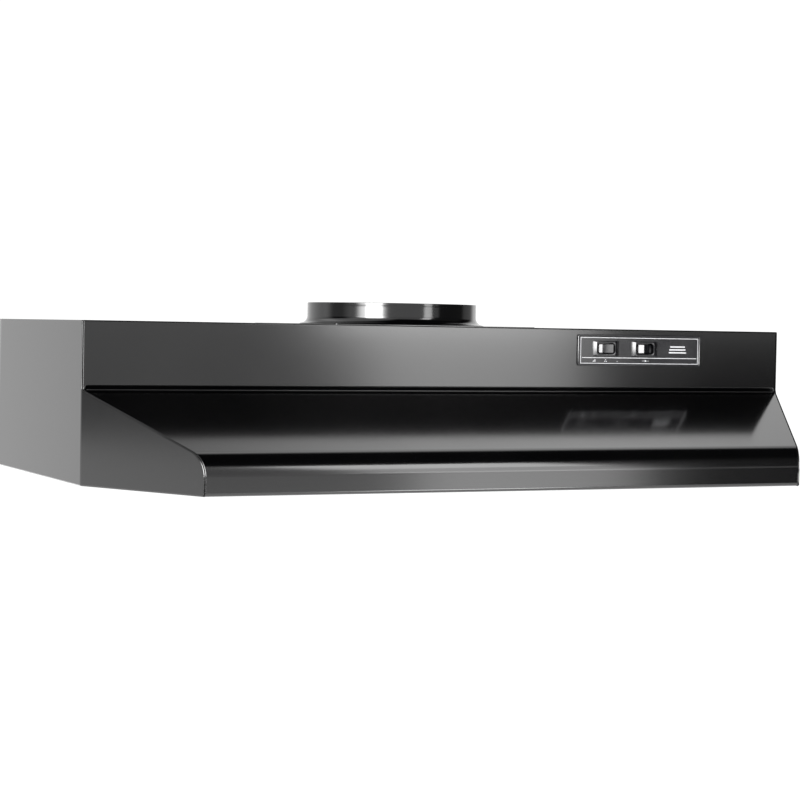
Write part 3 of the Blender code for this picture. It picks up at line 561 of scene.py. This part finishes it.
def wrap_row(plain, recessed):
    """One line across the hood: an edge at each end and the face between, which dips into the recess."""
    rim = quarter(WRAP_EDGE_R, 0.25, 1.0, 8)
    section = [(SEAM_SET_BACK + rim[0][0], rim[0][1] + SEAM_RETURN)]
    section += [(SEAM_SET_BACK + inset, depth) for inset, depth in rim]
    left = edge_points(plain, section, -1)
    right = edge_points(plain, section, 1)[::-1]
    start = SEAM_SET_BACK + WRAP_EDGE_R
    dips = []
    for side in (-1, 1):
        points = []
        for inset in DIP_INSETS:
            blend = min(1.0, inset / DIP_INSETS[-2])
            blend = blend * blend * (3 - 2 * blend)
            y, z = plain[0].lerp(recessed[0], blend)
            points.append(Vector((side * (mitre_half(y) - start - inset), y, z)))
        dips.append(points)
    near, far = dips[0][-1], dips[1][-1]
    between = [near.lerp(far, i / FACE_COLUMNS) for i in range(1, FACE_COLUMNS)]
    return left + dips[0] + between + dips[1][::-1] + right


def wrap_cutters():
    """The collar's hole and the keyholes in the top, and the rockers' windows in the front."""
    lo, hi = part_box("duct_collar")
    cutters = [cutter_from(circle(0, (lo.y + hi.y) / 2, COLLAR_HOLE_R, 96), on_top)]
    for x, y in KEYHOLES:
        hole = arc(x, y, KEYHOLE_HEAD_R, 90 + 27, 450 - 27, 24)
        hole += arc(x, y + KEYHOLE_REACH, KEYHOLE_SLOT_R, 0, 180, 8)
        cutters.append(cutter_from(hole, on_top))
    for tag in ("fan", "light"):
        lo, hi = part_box(tag + "_rocker")
        cx, cz = (lo.x + hi.x) / 2, (lo.z + hi.z) / 2
        window = [(cx + a, cz + b) for a, b in rounded_rectangle(0.0125, 0.0070, 0.001, 2)]
        cutters.append(cutter_from(window, on_front))
    return cutters


def make_wrap():
    """The bent sheet that makes the top, the upper panel, the visor, the nose and the lip."""
    bm = bmesh.new()
    rows = [wrap_row(plain, recessed) for plain, recessed in zip(PLAIN, RECESSED)]
    grid_faces(bm, add_rows(bm, rows))
    bmesh.ops.recalc_face_normals(bm, faces=bm.faces)
    top = max(bm.faces, key=lambda f: f.calc_center_median().z)
    if top.normal.z < 0:
        bmesh.ops.reverse_faces(bm, faces=bm.faces)
    shell = piece("hood_shell", bm, "black_enamel", replaces=("hood_wrap",), angle=50)
    thicken(shell, WRAP_SHEET)
    cut(shell, wrap_cutters())
    shell.data.shade_smooth()
    shell.data.set_sharp_from_angle(angle=math.radians(35))
    weight_normals(shell)


def end_section():
    """The end panel's rim: round the corner from its outer face, then down into the seam."""
    rim = quarter(PANEL_EDGE_R, 0.0, PANEL_EDGE_SHARE, 10)
    inset, depth = rim[-1]
    return rim + [(inset + 0.00015, depth + 0.0001), (inset + 0.0002, depth + 0.0010)]


def end_fold(side):
    """Plan places round the fold where an end panel turns in, as (x, y, way out)."""
    straight = Vector((side, 0, 0))
    turned_in = Vector((side * math.cos(MITRE), -math.sin(MITRE), 0))
    radius = FOLD_REACH / math.tan(MITRE / 2) * 0.999
    fold = []
    for step in range(FOLD_STEPS + 1):
        share = step / FOLD_STEPS
        x = HALF - radius + radius * math.cos(MITRE * share)
        y = FRONT_Y + FOLD_REACH - radius * math.sin(MITRE * share)
        fold.append((side * x, y, slerp(straight, turned_in, share)))
    return fold


def end_flats(bm, rim, fold, side):
    """An end panel's two flats and the fold between them. A narrow border keeps each flat's shading even.
    Returns the front ends of the straight bottom and of the rim."""
    split = next(i for i, vert in enumerate(rim) if vert.co.y < FRONT_Y - 0.0003)
    fold_top_z = rim[split].co.z - 0.0005
    fold_top, fold_low = add_rows(bm, [[(x, y, z) for x, y, _ in fold] for z in (fold_top_z, END_LOW)])
    grid_faces(bm, [fold_top, fold_low])
    rear_low = bm.verts.new((side * HALF, REAR, END_LOW))
    tip = bm.verts.new((side * mitre_half(TIP_Y), TIP_Y, END_LOW))
    flats = [bm.faces.new([*rim[:split], fold_top[0], fold_low[0], rear_low]),
             bm.faces.new([fold_top[-1], *rim[split:], tip, fold_low[-1]])]
    bm.faces.new([rim[split - 1], rim[split], *fold_top[::-1]])
    ends = tip.co.copy(), rim[-1].co.copy()
    bmesh.ops.inset_individual(bm, faces=flats, thickness=FLAT_BORDER, use_even_offset=True)
    return ends


def bottom_row(x, y, outward, flange, inner=None):
    """One line round the rolled bottom edge, from the outer face in to the flange's end."""
    centre = Vector((x, y, END_LOW)) - outward * END_HEM
    points = [centre + slerp(outward, Vector((0, 0, -1)), i / 6) * END_HEM for i in range(7)]
    return points + [inner or points[-1] - outward * flange]


def end_bottom(bm, fold, tip, corner, side):
    """An end panel's rolled bottom edge and flange. The flange's inner line turns at one shared point."""
    straight, turned_in = fold[0][2], fold[-1][2]
    inner = Vector((side * HALF, FRONT_Y, BOTTOM))
    inner -= (straight + turned_in) * (END_HEM + END_FLANGE) / (1 + straight.dot(turned_in))
    rows = [bottom_row(side * HALF, REAR, straight, END_FLANGE)]
    rows += [bottom_row(x, y, outward, END_FLANGE, inner) for x, y, outward in fold]
    rows.append(bottom_row(tip.x, tip.y, turned_in, END_FLANGE))
    rows.append(bottom_row(corner.x, corner.y, turned_in, END_FLANGE_AT_LIP))
    made = add_rows(bm, rows)
    for row in made[2:-2]:
        bm.verts.remove(row[-1])
        row[-1] = made[1][-1]
    grid_faces(bm, made)


def make_end_panel(name, node, side):
    """One side sheet: a rounded rim along the outline, two flats with a fold, and a rolled bottom edge."""
    bm = bmesh.new()
    stations = [s for s in PLAIN if s[0].y > BOTTOM + HEM_RADIUS + 0.001]
    stations.append((Vector((LIP_Y, END_LOW)), Vector((-1.0, 0.0)), None))
    section = end_section()
    rows = add_rows(bm, [edge_points(station, section, side) for station in stations])
    grid_faces(bm, rows)
    fold = end_fold(side)
    tip, corner = end_flats(bm, [row[0] for row in rows], fold, side)
    end_bottom(bm, fold, tip, corner, side)
    bmesh.ops.remove_doubles(bm, verts=bm.verts, dist=0.000003)
    bmesh.ops.triangulate(bm, faces=[f for f in bm.faces if len(f.verts) > 4])
    bmesh.ops.recalc_face_normals(bm, faces=bm.faces)
    largest = max(bm.faces, key=lambda f: f.calc_area())
    if largest.normal.x * side < 0:
        bmesh.ops.reverse_faces(bm, faces=bm.faces)
    panel = piece(name, bm, "black_enamel", replaces=(node,), angle=50)
    thicken(panel, END_SHEET, even=False)
    weight_normals(panel)


# ---------------------------------------------------------------- duct collar

def lathe(bm, profile, centre, steps):
    """Turn a closed (radius, height) profile about the vertical through the centre."""
    rows = []
    for i in range(steps):
        a = 2 * math.pi * i / steps
        rows.append([centre + Vector((r * math.cos(a), r * math.sin(a), z)) for r, z in profile])
    made = add_rows(bm, rows)
    made.append(made[0])
    grid_faces(bm, made)
    for first, second in zip(made, made[1:]):
        bm.faces.new((first[-1], first[0], second[0], second[-1]))
    bmesh.ops.recalc_face_normals(bm, faces=bm.faces)


def make_collar():
    """The round collar: a rolled rim, a shallow line under it and a flare that runs out into a flange."""
    lo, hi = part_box("duct_collar")
    centre = Vector(((lo.x + hi.x) / 2, (lo.y + hi.y) / 2, 0))
    rim = hi.z - 0.0003
    bead = rim - 0.0042
    foot = COLLAR_PLATE_TOP
    base = foot + COLLAR_WALL
    edge = COLLAR_WALL / 2
    flare_x, flare_z = COLLAR_R + COLLAR_FLARE, base + COLLAR_FLARE
    far = flare_x + 0.0006
    profile = arc(COLLAR_R - edge, rim - edge, edge, 180, 0, 6)
    profile += [(COLLAR_R, bead + 0.0010), (COLLAR_R - 0.00012, bead), (COLLAR_R, bead - 0.0010)]
    profile += arc(flare_x, flare_z, COLLAR_FLARE, 180, 270, 10)
    profile += [(far - 0.0004, base), (far, base - 0.0004), (far - 0.0003, foot)]
    profile += arc(flare_x, flare_z, COLLAR_FLARE + COLLAR_WALL, 270, 180, 10)
    bm = bmesh.new()
    lathe(bm, profile, centre, 144)
    collar = piece("round_duct_collar", bm, "black_enamel", replaces=("duct_collar",), angle=50)
    weight_normals(collar)


def make_duct_plate():
    """The thin plate that closes the top opening round the collar."""
    lo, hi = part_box("duct_plate")
    cx, cy = (lo.x + hi.x) / 2, (lo.y + hi.y) / 2
    outline = rounded_rectangle((hi.x - lo.x) / 2, (hi.y - lo.y) / 2, 0.004, 6)
    bm = bmesh.new()
    lofted(bm, [[Vector((cx + x, cy + y, z)) for x, y in outline] for z in (TOP + 0.00002, COLLAR_PLATE_TOP)],
           close_first=True)
    bmesh.ops.recalc_face_normals(bm, faces=bm.faces)
    plate = piece("collar_plate", bm, "black_enamel", replaces=("duct_plate",), angle=30)
    cut(plate, [cutter_from(circle(cx, cy, COLLAR_PLATE_HOLE_R, 96), on_top)])


def make_spindle():
    """The damper spindle, its ends chamfered just inside the collar's wall."""
    lo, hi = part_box("damper_rod")
    collar_lo, collar_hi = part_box("duct_collar")
    radius = (hi.z - lo.z) / 2
    middle = Vector(((collar_lo.x + collar_hi.x) / 2, (lo.y + hi.y) / 2, (lo.z + hi.z) / 2))
    ends = ((SPINDLE_REACH, radius - SPINDLE_CHAMFER), (SPINDLE_REACH - SPINDLE_CHAMFER, radius))
    rings = []
    for x, r in [(-x, r) for x, r in ends] + list(ends[::-1]):
        rings.append([middle + Vector((x, a, b)) for a, b in circle(0, 0, r, 24)])
    bm = bmesh.new()
    lofted(bm, rings, close_first=True)
    bmesh.ops.recalc_face_normals(bm, faces=bm.faces)
    piece("damper_spindle", bm, "steel", replaces=("damper_rod",), angle=40)


# ---------------------------------------------------------------- controls

def lofted(bm, rings, close_first=False, close_last=True):
    """Skin a run of rings of equal length."""
    rows = add_rows(bm, rings)
    grid_faces(bm, rows, closed=True)
    if close_first:
        bm.faces.new(rows[0][::-1])
    if close_last:
        bm.faces.new(rows[-1])
    return rows


def front_ring(cx, cz, half_x, half_z, radius, y, steps=5):
    return [Vector((cx + a, y, cz + b)) for a, b in rounded_rectangle(half_x, half_z, radius, steps)]


def switch_window(tag):
    """A cutter for the hole in the plate that a switch frame fills."""
    lo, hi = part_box(tag + "_switch_frame")
    cx, cz = (lo.x + hi.x) / 2, (lo.z + hi.z) / 2
    outline = rounded_rectangle((hi.x - lo.x) / 2 - 0.0006, (hi.z - lo.z) / 2 - 0.0006, 0.0008, 2)
    return cutter_from([(cx + a, cz + b) for a, b in outline], on_front)


def make_switch_plate():
    """A moulded plate with a raised rim round a sunken field."""
    cx, cz = (plate_lo.x + plate_hi.x) / 2, (plate_lo.z + plate_hi.z) / 2
    hx, hz = (plate_hi.x - plate_lo.x) / 2, (plate_hi.z - plate_lo.z) / 2
    front = plate_lo.y
    section = ((0, 0.0026, plate_hi.y), (0, 0.0026, front + 0.00042), (0.00008, 0.0026, front + 0.00032),
               (0.00040, 0.0024, front + 0.00003), (0.00055, 0.0023, front), (0.0014, 0.0018, front),
               (0.0016, 0.0016, front + 0.0001), (0.0020, 0.0014, PLATE_FIELD_Y))
    bm = bmesh.new()
    rings = [front_ring(cx, cz, hx - inset, hz - inset, radius, y) for inset, radius, y in section]
    lofted(bm, rings, close_first=True)
    bmesh.ops.recalc_face_normals(bm, faces=bm.faces)
    plate = piece("control_plate", bm, "black_plastic", replaces=("switch_plate",), angle=30)
    cut(plate, [switch_window(tag) for tag in ("fan", "light")])
    plate.data.shade_smooth()
    plate.data.set_sharp_from_angle(angle=math.radians(30))


def make_switch_print():
    """The print on the plate's field: a border, a divider, plain marks under the rockers, a striped badge."""
    ink = bmesh.new()

    def bar(x0, x1, z0, z1):
        corners = ((x0, z0), (x1, z0), (x1, z1), (x0, z1))
        rings = [[Vector((x, y, z)) for x, z in corners] for y in (PLATE_FIELD_Y, PLATE_FIELD_Y - INK_HEIGHT)]
        lofted(ink, rings, close_first=True)

    def spot(x, z, half_x, half_z):
        bar(x - half_x, x + half_x, z - half_z, z + half_z)

    left, right = plate_lo.x + 0.0031, plate_hi.x - 0.0030
    low, high = plate_lo.z + 0.0024, plate_hi.z - 0.0029
    divider = low + 0.0057
    bar(left, right, high - BORDER_LINE, high)
    bar(left, right, low, low + BORDER_LINE)
    bar(left, left + BORDER_LINE, low + BORDER_LINE, high - BORDER_LINE)
    bar(right - BORDER_LINE, right, low + BORDER_LINE, high - BORDER_LINE)
    bar(left + 0.0018, right - 0.0018, divider, divider + 0.0007)

    mark_z = (low + BORDER_LINE + divider) / 2
    fan_lo, fan_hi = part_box("fan_switch_frame")
    columns = [(fan_lo.x + 0.0004 + i * 0.0011, i + 1) for i in range(3)] + [(fan_hi.x - 0.0020, 1)]
    for x, height in columns:
        bar(x, x + 0.0007, mark_z - 0.0013, mark_z - 0.0013 + 0.0009 * height)
    fan_x = (fan_lo.x + fan_hi.x) / 2
    for dx, dz in ((0, 0.0009), (-0.0010, -0.0007), (0.0010, -0.0007)):
        spot(fan_x + dx, mark_z + dz, 0.0006, 0.0004)

    light_lo, light_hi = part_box("light_switch_frame")
    lamp_x = (light_lo.x + light_hi.x) / 2 + 0.0013
    spot(lamp_x, mark_z, 0.0009, 0.0009)
    for dx in (-0.0034, -0.0020, 0.0020, 0.0034):
        spot(lamp_x + dx, mark_z, 0.0005, 0.0002)

    badge_x = plate_hi.x - 0.0280
    for i in range(3):
        spot(badge_x, high - 0.0148 + i * 0.0030, 0.0105 - 0.0008 * i, 0.0007)
    bmesh.ops.recalc_face_normals(ink, faces=ink.faces)
    piece("control_plate_print", ink, "print_ink")


def make_switch_frame(tag):
    """A raised bezel: a broad sloping flank on each side, a narrow one above and below, a rounded opening.
    Returns the opening's sides and the bezel's face."""
    lo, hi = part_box(tag + "_switch_frame")
    back, front = hi.y, lo.y
    left_flank, right_flank, rise = 0.0034, 0.0046, 0.0004
    base = (lo.x, hi.x, lo.z, hi.z)
    face = (lo.x + left_flank, hi.x - right_flank, lo.z + rise, hi.z - rise)
    opening = (face[0] + 0.0010, face[1] - 0.0012, face[2] + 0.0020, face[3] - 0.0018)
    section = ((base, 0, 0.0006, back), (base, 0, 0.0006, PLATE_FIELD_Y), (face, 0, 0.0011, front + 0.00025),
               (face, 0.00012, 0.0011, front + 0.00007), (face, 0.0003, 0.0012, front),
               (opening, -0.0004, 0.0032, front), (opening, -0.00015, 0.0031, front + 0.00010),
               (opening, 0, 0.0030, front + 0.0004), (opening, -0.0007, 0.0034, front + 0.0011),
               (opening, -0.0007, 0.0034, back))
    rings = []
    for (x0, x1, z0, z1), inset, radius, y in section:
        half_x, half_z = (x1 - x0) / 2 - inset, (z1 - z0) / 2 - inset
        rings.append(front_ring((x0 + x1) / 2, (z0 + z1) / 2, half_x, half_z, radius, y))
    bm = bmesh.new()
    rows = lofted(bm, rings, close_last=False)
    grid_faces(bm, [rows[-1], rows[0]], closed=True)
    bmesh.ops.recalc_face_normals(bm, faces=bm.faces)
    piece(tag + "_switch_bezel", bm, "black_plastic", replaces=(tag + "_switch_frame",), angle=30)
    return opening, front


def rocker_section(tag, half):
    """The rocker from above at rest, as (across, depth behind the bezel's face) points, left to right."""
    shares = [i / 8 for i in range(1, 9)]
    if tag == "fan":
        start, end = -half + 0.0070, half - 0.0010
        face = [(-half, 0.0050), (-half + 0.0052, 0.0004), (-half + 0.0058, 0.0008), (-half + 0.0064, 0.0018),
                (start, 0.0011)]
        face += [(start + (end - start) * t, 0.0011 + 0.0002 * t - 0.0005 * t * t) for t in shares]
        return face + [(half, 0.0018), (half - 0.0008, 0.0080), (-half + 0.0008, 0.0080)]
    ridge = -0.0014
    start = ridge + 0.0009
    face = [(-half, 0.0074), (ridge, 0.0001), (ridge + 0.0005, 0.0002), (start, 0.0007)]
    face += [(start + (half - start) * t, 0.0007 + 0.0034 * t ** 0.8) for t in shares]
    return face + [(half - 0.0006, 0.0090), (-half + 0.0006, 0.0094)]


def make_rocker(tag, opening, front):
    """A rocker key moulded to its section, with softened edges."""
    middle = (opening[0] + opening[1]) / 2
    half = (opening[1] - opening[0]) / 2 - 0.0006
    cz = (opening[2] + opening[3]) / 2
    high = (opening[3] - opening[2]) / 2 - 0.0009
    section = rocker_section(tag, half)
    rows = []
    softened = ((0.90, 0.0), (0.97, 0.0002), (1.0, 0.0005))
    for share, shrink in [(-share, shrink) for share, shrink in softened[::-1]] + list(softened):
        row = [Vector((middle + x * (1 - shrink / half), front + depth + shrink, cz + high * share))
               for x, depth in section]
        rows.append(row)
    bm = bmesh.new()
    lofted(bm, rows, close_first=True)
    bmesh.ops.recalc_face_normals(bm, faces=bm.faces)
    piece(tag + "_rocker_key", bm, "black_plastic", body=tag + "_switch_rocker", replaces=(tag + "_rocker",),
          angle=25)


# ---------------------------------------------------------------- filter and lens

def strand(bm, start, end, width=0.0007, thickness=0.0006):
    """A flat strand between two points of the same height."""
    along = (end - start).normalized()
    across = Vector((-along.y, along.x, 0)) * width / 2
    rise = Vector((0, 0, thickness / 2))
    section = (across - rise, -across - rise, -across + rise, across + rise)
    lofted(bm, [[place + corner for corner in section] for place in (start, end)], close_first=True)


def make_filter_mesh():
    """The filter's aluminium mesh: two layers of flat strands that lean opposite ways across the frame."""
    lo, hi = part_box("filter_mesh")
    pitch, layer_gap, shortest = 0.0062, 0.0018, 0.002
    width, depth = hi.x - lo.x, hi.y - lo.y
    bm = bmesh.new()
    for lean in (1, -1):
        z = (lo.z + hi.z) / 2 - lean * layer_gap / 2
        first = lo.x - depth if lean > 0 else lo.x
        for i in range(int((width + depth) / pitch) + 1):
            foot = first + i * pitch
            crossings = sorted((lean * (lo.x - foot), lean * (hi.x - foot)))
            start, end = max(0.0, crossings[0]), min(depth, crossings[1])
            if end - start >= shortest:
                strand(bm, *(Vector((foot + lean * away, lo.y + away, z)) for away in (start, end)))
    bmesh.ops.recalc_face_normals(bm, faces=bm.faces)
    piece("filter_lattice", bm, "aluminium", body="filter", replaces=("filter_mesh",), angle=30)


def add_lens_ribs(bm, lo, hi, margin=0.010, ribs=26):
    """Fine prisms across the diffuser's underside."""
    pitch = (hi.y - lo.y - 2 * margin) / ribs
    half = pitch * 0.42
    top = lo.z + 0.0007
    for i in range(ribs):
        y = lo.y + margin + pitch * (i + 0.5)
        section = [(y - half, top), (y, lo.z + 0.00001), (y + half, top)]
        lofted(bm, [[Vector((x, b, c)) for b, c in section] for x in (lo.x + margin, hi.x - margin)],
               close_first=True)


def make_lens():
    """The ribbed diffuser tray under the lamp."""
    lo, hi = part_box("lamp_lens")
    cx, cy = (lo.x + hi.x) / 2, (lo.y + hi.y) / 2
    hx, hy = (hi.x - lo.x) / 2, (hi.y - lo.y) / 2
    wall = 0.0016
    inside_section = ((wall + 0.0012, wall + 0.0006), (wall, 0.0030), (wall, hi.z - lo.z))
    outside_section = ((0.0, hi.z - lo.z), (0.0, 0.0022), (0.0008, 0.0008), (0.0022, 0.0002))
    rings = []
    for section, radius in ((inside_section, 0.002), (outside_section, 0.003)):
        for inset, height in section:
            outline = rounded_rectangle(hx - inset, hy - inset, radius, 4)
            rings.append([Vector((cx + a, cy + b, lo.z + height)) for a, b in outline])
    bm = bmesh.new()
    lofted(bm, rings, close_first=True)
    add_lens_ribs(bm, lo, hi)
    bmesh.ops.recalc_face_normals(bm, faces=bm.faces)
    piece("lamp_diffuser", bm, "lens", body="lens", replaces=("lamp_lens",), angle=30)


# ---------------------------------------------------------------- carried-over CAD nodes

SMOOTH_ANGLES = {
    60: ("lamp_bulb", "motor_lead", "switch_lead", "lamp_lead", "filter_pull_ring"),
    40: ("lamp_socket", "motor_end_cap_lower", "motor_end_cap_upper", "motor_shaft", "motor_rotor",
         "venturi_ring", "cable_clamp", "wire_nut_motor", "wire_nut_switch"),
    30: ("fan_blade",),
}


def dress_nodes():
    """Give every CAD node its slot's material, and smooth the shading of the round ones."""
    for entry in frame["record"]["subparts"]:
        use(frame["nodes"][entry["node"]], entry["material_slot"])
    for angle, names in SMOOTH_ANGLES.items():
        for name in names:
            mesh = frame["nodes"][name].data
            mesh.shade_smooth()
            mesh.set_sharp_from_angle(angle=math.radians(angle))


# ---------------------------------------------------------------- stage, light and camera

def make_floor():
    """A pale, evenly lit floor well below the hood."""
    half, drop = 6, 0.9
    bm = bmesh.new()
    rows = add_rows(bm, [[Vector((x, y, 0)) for x in (-half, half)] for y in (-half, half)])
    grid_faces(bm, rows)
    mesh = bpy.data.meshes.new("floor")
    bm.to_mesh(mesh)
    bm.free()
    floor = bpy.data.objects.new("floor", mesh)
    floor.location = (0, 0, BOTTOM - drop)
    bpy.context.scene.collection.objects.link(floor)
    mat, _, _, shader = new_material("pale_floor")
    shader.inputs["Base Color"].default_value = (0.86, 0.86, 0.86, 1)
    shader.inputs["Roughness"].default_value = 0.9
    shader.inputs["Emission Color"].default_value = (1, 1, 1, 1)
    shader.inputs["Emission Strength"].default_value = 0.80
    floor.data.materials.append(mat)


def softbox(name, azimuth, elevation, radiance, distance=3.0, aim=(0, -0.30, -0.07)):
    """A rectangular light, seen from the hood between two azimuths (-Y towards +X) and two elevations."""
    a = math.radians(sum(azimuth) / 2)
    e = math.radians(sum(elevation) / 2)
    toward = Vector((math.sin(a) * math.cos(e), -math.cos(a) * math.cos(e), math.sin(e)))
    width = 2 * distance * math.tan(math.radians(azimuth[1] - azimuth[0]) / 2)
    height = 2 * distance * math.tan(math.radians(elevation[1] - elevation[0]) / 2)
    light = bpy.data.lights.new(name, "AREA")
    light.shape = "RECTANGLE"
    light.size = width
    light.size_y = height
    light.energy = radiance * math.pi * width * height
    obj = bpy.data.objects.new(name, light)
    obj.location = Vector(aim) + toward * distance
    obj.rotation_mode = "QUATERNION"
    obj.rotation_quaternion = toward.to_track_quat("Z", "Y")
    obj.visible_camera = False
    bpy.context.scene.collection.objects.link(obj)


class Sky:
    """Node helpers over the direction that is looked in, by its X, Y and Z parts."""

    def __init__(self, nodes, links):
        coords = nodes.new("ShaderNodeTexCoord")
        parts = nodes.new("ShaderNodeSeparateXYZ")
        links.new(coords.outputs["Generated"], parts.inputs[0])
        self.nodes, self.links = nodes, links
        self.direction, self.parts = coords.outputs["Generated"], parts.outputs

    def step(self, source, from_low, from_high, low, high):
        """A smooth step over a part or over another value. Its far level may be another value too."""
        node = self.nodes.new("ShaderNodeMapRange")
        node.interpolation_type = "SMOOTHSTEP"
        node.inputs["From Min"].default_value = from_low
        node.inputs["From Max"].default_value = from_high
        node.inputs["To Min"].default_value = low
        if isinstance(high, bpy.types.NodeSocket):
            self.links.new(high, node.inputs["To Max"])
        else:
            node.inputs["To Max"].default_value = high
        self.links.new(self.parts[source] if isinstance(source, str) else source, node.inputs["Value"])
        return node.outputs["Result"]

    def combine(self, operation, first, *others):
        for other in others:
            node = self.nodes.new("ShaderNodeMath")
            node.operation = operation
            self.links.new(first, node.inputs[0])
            self.links.new(other, node.inputs[1])
            first = node.outputs[0]
        return first

    def product(self, *values):
        return self.combine("MULTIPLY", *values)

    def total(self, *values):
        return self.combine("ADD", *values)

    def level(self, source, from_low, from_high, stops):
        """A ramp over a part through the given (part, brightness) stops."""
        place = self.nodes.new("ShaderNodeMapRange")
        place.inputs["From Min"].default_value = from_low
        place.inputs["From Max"].default_value = from_high
        self.links.new(self.parts[source], place.inputs["Value"])
        ramp = self.nodes.new("ShaderNodeValToRGB")
        elements = ramp.color_ramp.elements
        for part, value in stops[1:-1]:
            elements.new((part - from_low) / (from_high - from_low)).color = (value, value, value, 1)
        for end, (part, value) in ((0, stops[0]), (-1, stops[-1])):
            elements[end].position = (part - from_low) / (from_high - from_low)
            elements[end].color = (value, value, value, 1)
        self.links.new(place.outputs["Result"], ramp.inputs["Fac"])
        return ramp.outputs["Color"]

    def facing(self, direction):
        """How nearly the direction looked in is the given one: 1 when it is the same."""
        node = self.nodes.new("ShaderNodeVectorMath")
        node.operation = "DOT_PRODUCT"
        self.links.new(self.direction, node.inputs[0])
        node.inputs[1].default_value = direction.normalized()
        return node.outputs["Value"]


def light_behind(sky):
    """The white backdrop, brighter upward at the right, and the surroundings beside it and overhead."""
    brightest = sky.product(sky.step("X", 0.30, 0.46, 0.70, 1.72), sky.step("X", 0.50, 0.60, 1.0, 0.78))
    backdrop = sky.product(sky.step("Y", 0.33, 0.60, 0.01, 1.0), sky.step("Z", 0.08, 0.60, 1.10, brightest))
    steep = sky.product(sky.step("Y", 0.20, 0.42, 0.0, 1.0), sky.step("Y", 0.38, 0.60, 1.0, 0.0),
                        sky.step("Z", 0.60, 0.78, 0.0, 1.4), sky.step("X", 0.15, 0.30, 0.0, 1.0))
    sides = sky.product(sky.step("Y", -0.10, 0.05, 0.0, 0.38), sky.step("Y", 0.45, 0.75, 1.0, 0.0),
                        sky.step("Z", 0.08, 0.30, 1.0, 0.0))
    overhead = sky.product(sky.step("X", -0.45, -0.15, 1.3, 0.0), sky.step("Z", 0.40, 0.65, 0.0, 1.0))
    return sky.total(backdrop, steep, sides, overhead)


def light_ahead(sky):
    """The room in front of the hood, darker to the right, with a dark line where its floor begins."""
    room = sky.level("Z", -0.25, 0.70, ((-0.25, 0.85), (-0.09, 0.80), (-0.05, 0.68), (-0.033, 0.30),
                                        (0.0, 0.64), (0.03, 0.60), (0.07, 0.48), (0.58, 0.44), (0.66, 0.0)))
    return sky.product(sky.step("Y", -0.15, 0.10, 2.0, 0.0), sky.step("X", 0.42, 0.53, 1.0, 0.06), room)


def light_from_window(sky):
    """A soft window to the left, in front of the hood."""
    glow = sky.step(sky.facing(Vector((-0.779, -0.609, 0.150))), 0.880, 0.975, 0.0, 2.4)
    return sky.product(glow, glow, glow, sky.step("Z", -0.10, 0.02, 0.0, 1.0))


def make_world():
    """White surroundings behind the hood, a dim room in front of it and one soft window to the left."""
    world = bpy.data.worlds.new("studio")
    bpy.context.scene.world = world
    world.use_nodes = True
    nodes, links = world.node_tree.nodes, world.node_tree.links
    nodes.clear()
    out = nodes.new("ShaderNodeOutputWorld")
    background = nodes.new("ShaderNodeBackground")
    background.inputs["Color"].default_value = (1, 1, 1, 1)
    sky = Sky(nodes, links)
    brightness = sky.total(light_behind(sky), light_ahead(sky), light_from_window(sky))
    links.new(brightness, background.inputs["Strength"])
    links.new(background.outputs[0], out.inputs[0])


def make_lights():
    softbox("softbox_left", (-62, -38), (-3, 30), 16)
    softbox("softbox_right", (20.3, 32.4), (1, 4), 7.9)
    softbox("softbox_right_mid", (20.3, 32.4), (4, 18), 4.9)
    softbox("softbox_right_high", (20.3, 32.4), (18, 34), 7.9)
    softbox("softbox_right_low", (22.2, 32.0), (-10, 1), 4.1)
    softbox("softbox_far_right", (35.0, 43.0), (0.7, 5), 0.80)
    softbox("card_table", (19, 31.0), (-38, -17), 9, distance=1.5)
    softbox("card_left", (-130, -95), (-26, -3.0), 1.45, aim=(-0.35, -0.37, -0.11))


def make_camera():
    """A long lens from the front left, level with the hood's top edge."""
    position = Vector((-0.93405, -1.88988 + FRONT_Y, 0.15093 + BOTTOM))
    yaw, pitch, roll = 0.433338, -0.034510, 0.017295
    forward = Vector((math.sin(yaw) * math.cos(pitch), math.cos(yaw) * math.cos(pitch), math.sin(pitch)))
    right = Vector((math.cos(yaw), -math.sin(yaw), 0))
    up = right.cross(forward)
    across = math.cos(roll) * right + math.sin(roll) * up
    above = -math.sin(roll) * right + math.cos(roll) * up
    camera = bpy.data.cameras.new("camera")
    camera.sensor_width = 36
    camera.lens = 95.90
    camera.shift_y = 0.0006
    camera.clip_end = 50
    obj = bpy.data.objects.new("camera", camera)
    matrix = Matrix((across, above, -forward)).transposed().to_4x4()
    matrix.translation = position
    obj.matrix_world = matrix
    bpy.context.scene.collection.objects.link(obj)
    bpy.context.scene.camera = obj


bpy.context.scene.view_settings.view_transform = "Standard"
make_camera()
make_world()
make_lights()
make_floor()
dress_nodes()
make_wrap()
make_end_panel("end_panel_left", "left_end_panel", -1)
make_end_panel("end_panel_right", "right_end_panel", 1)
make_collar()
make_duct_plate()
make_spindle()
make_switch_plate()
make_switch_print()
for tag in ("fan", "light"):
    make_rocker(tag, *make_switch_frame(tag))
make_filter_mesh()
make_lens()
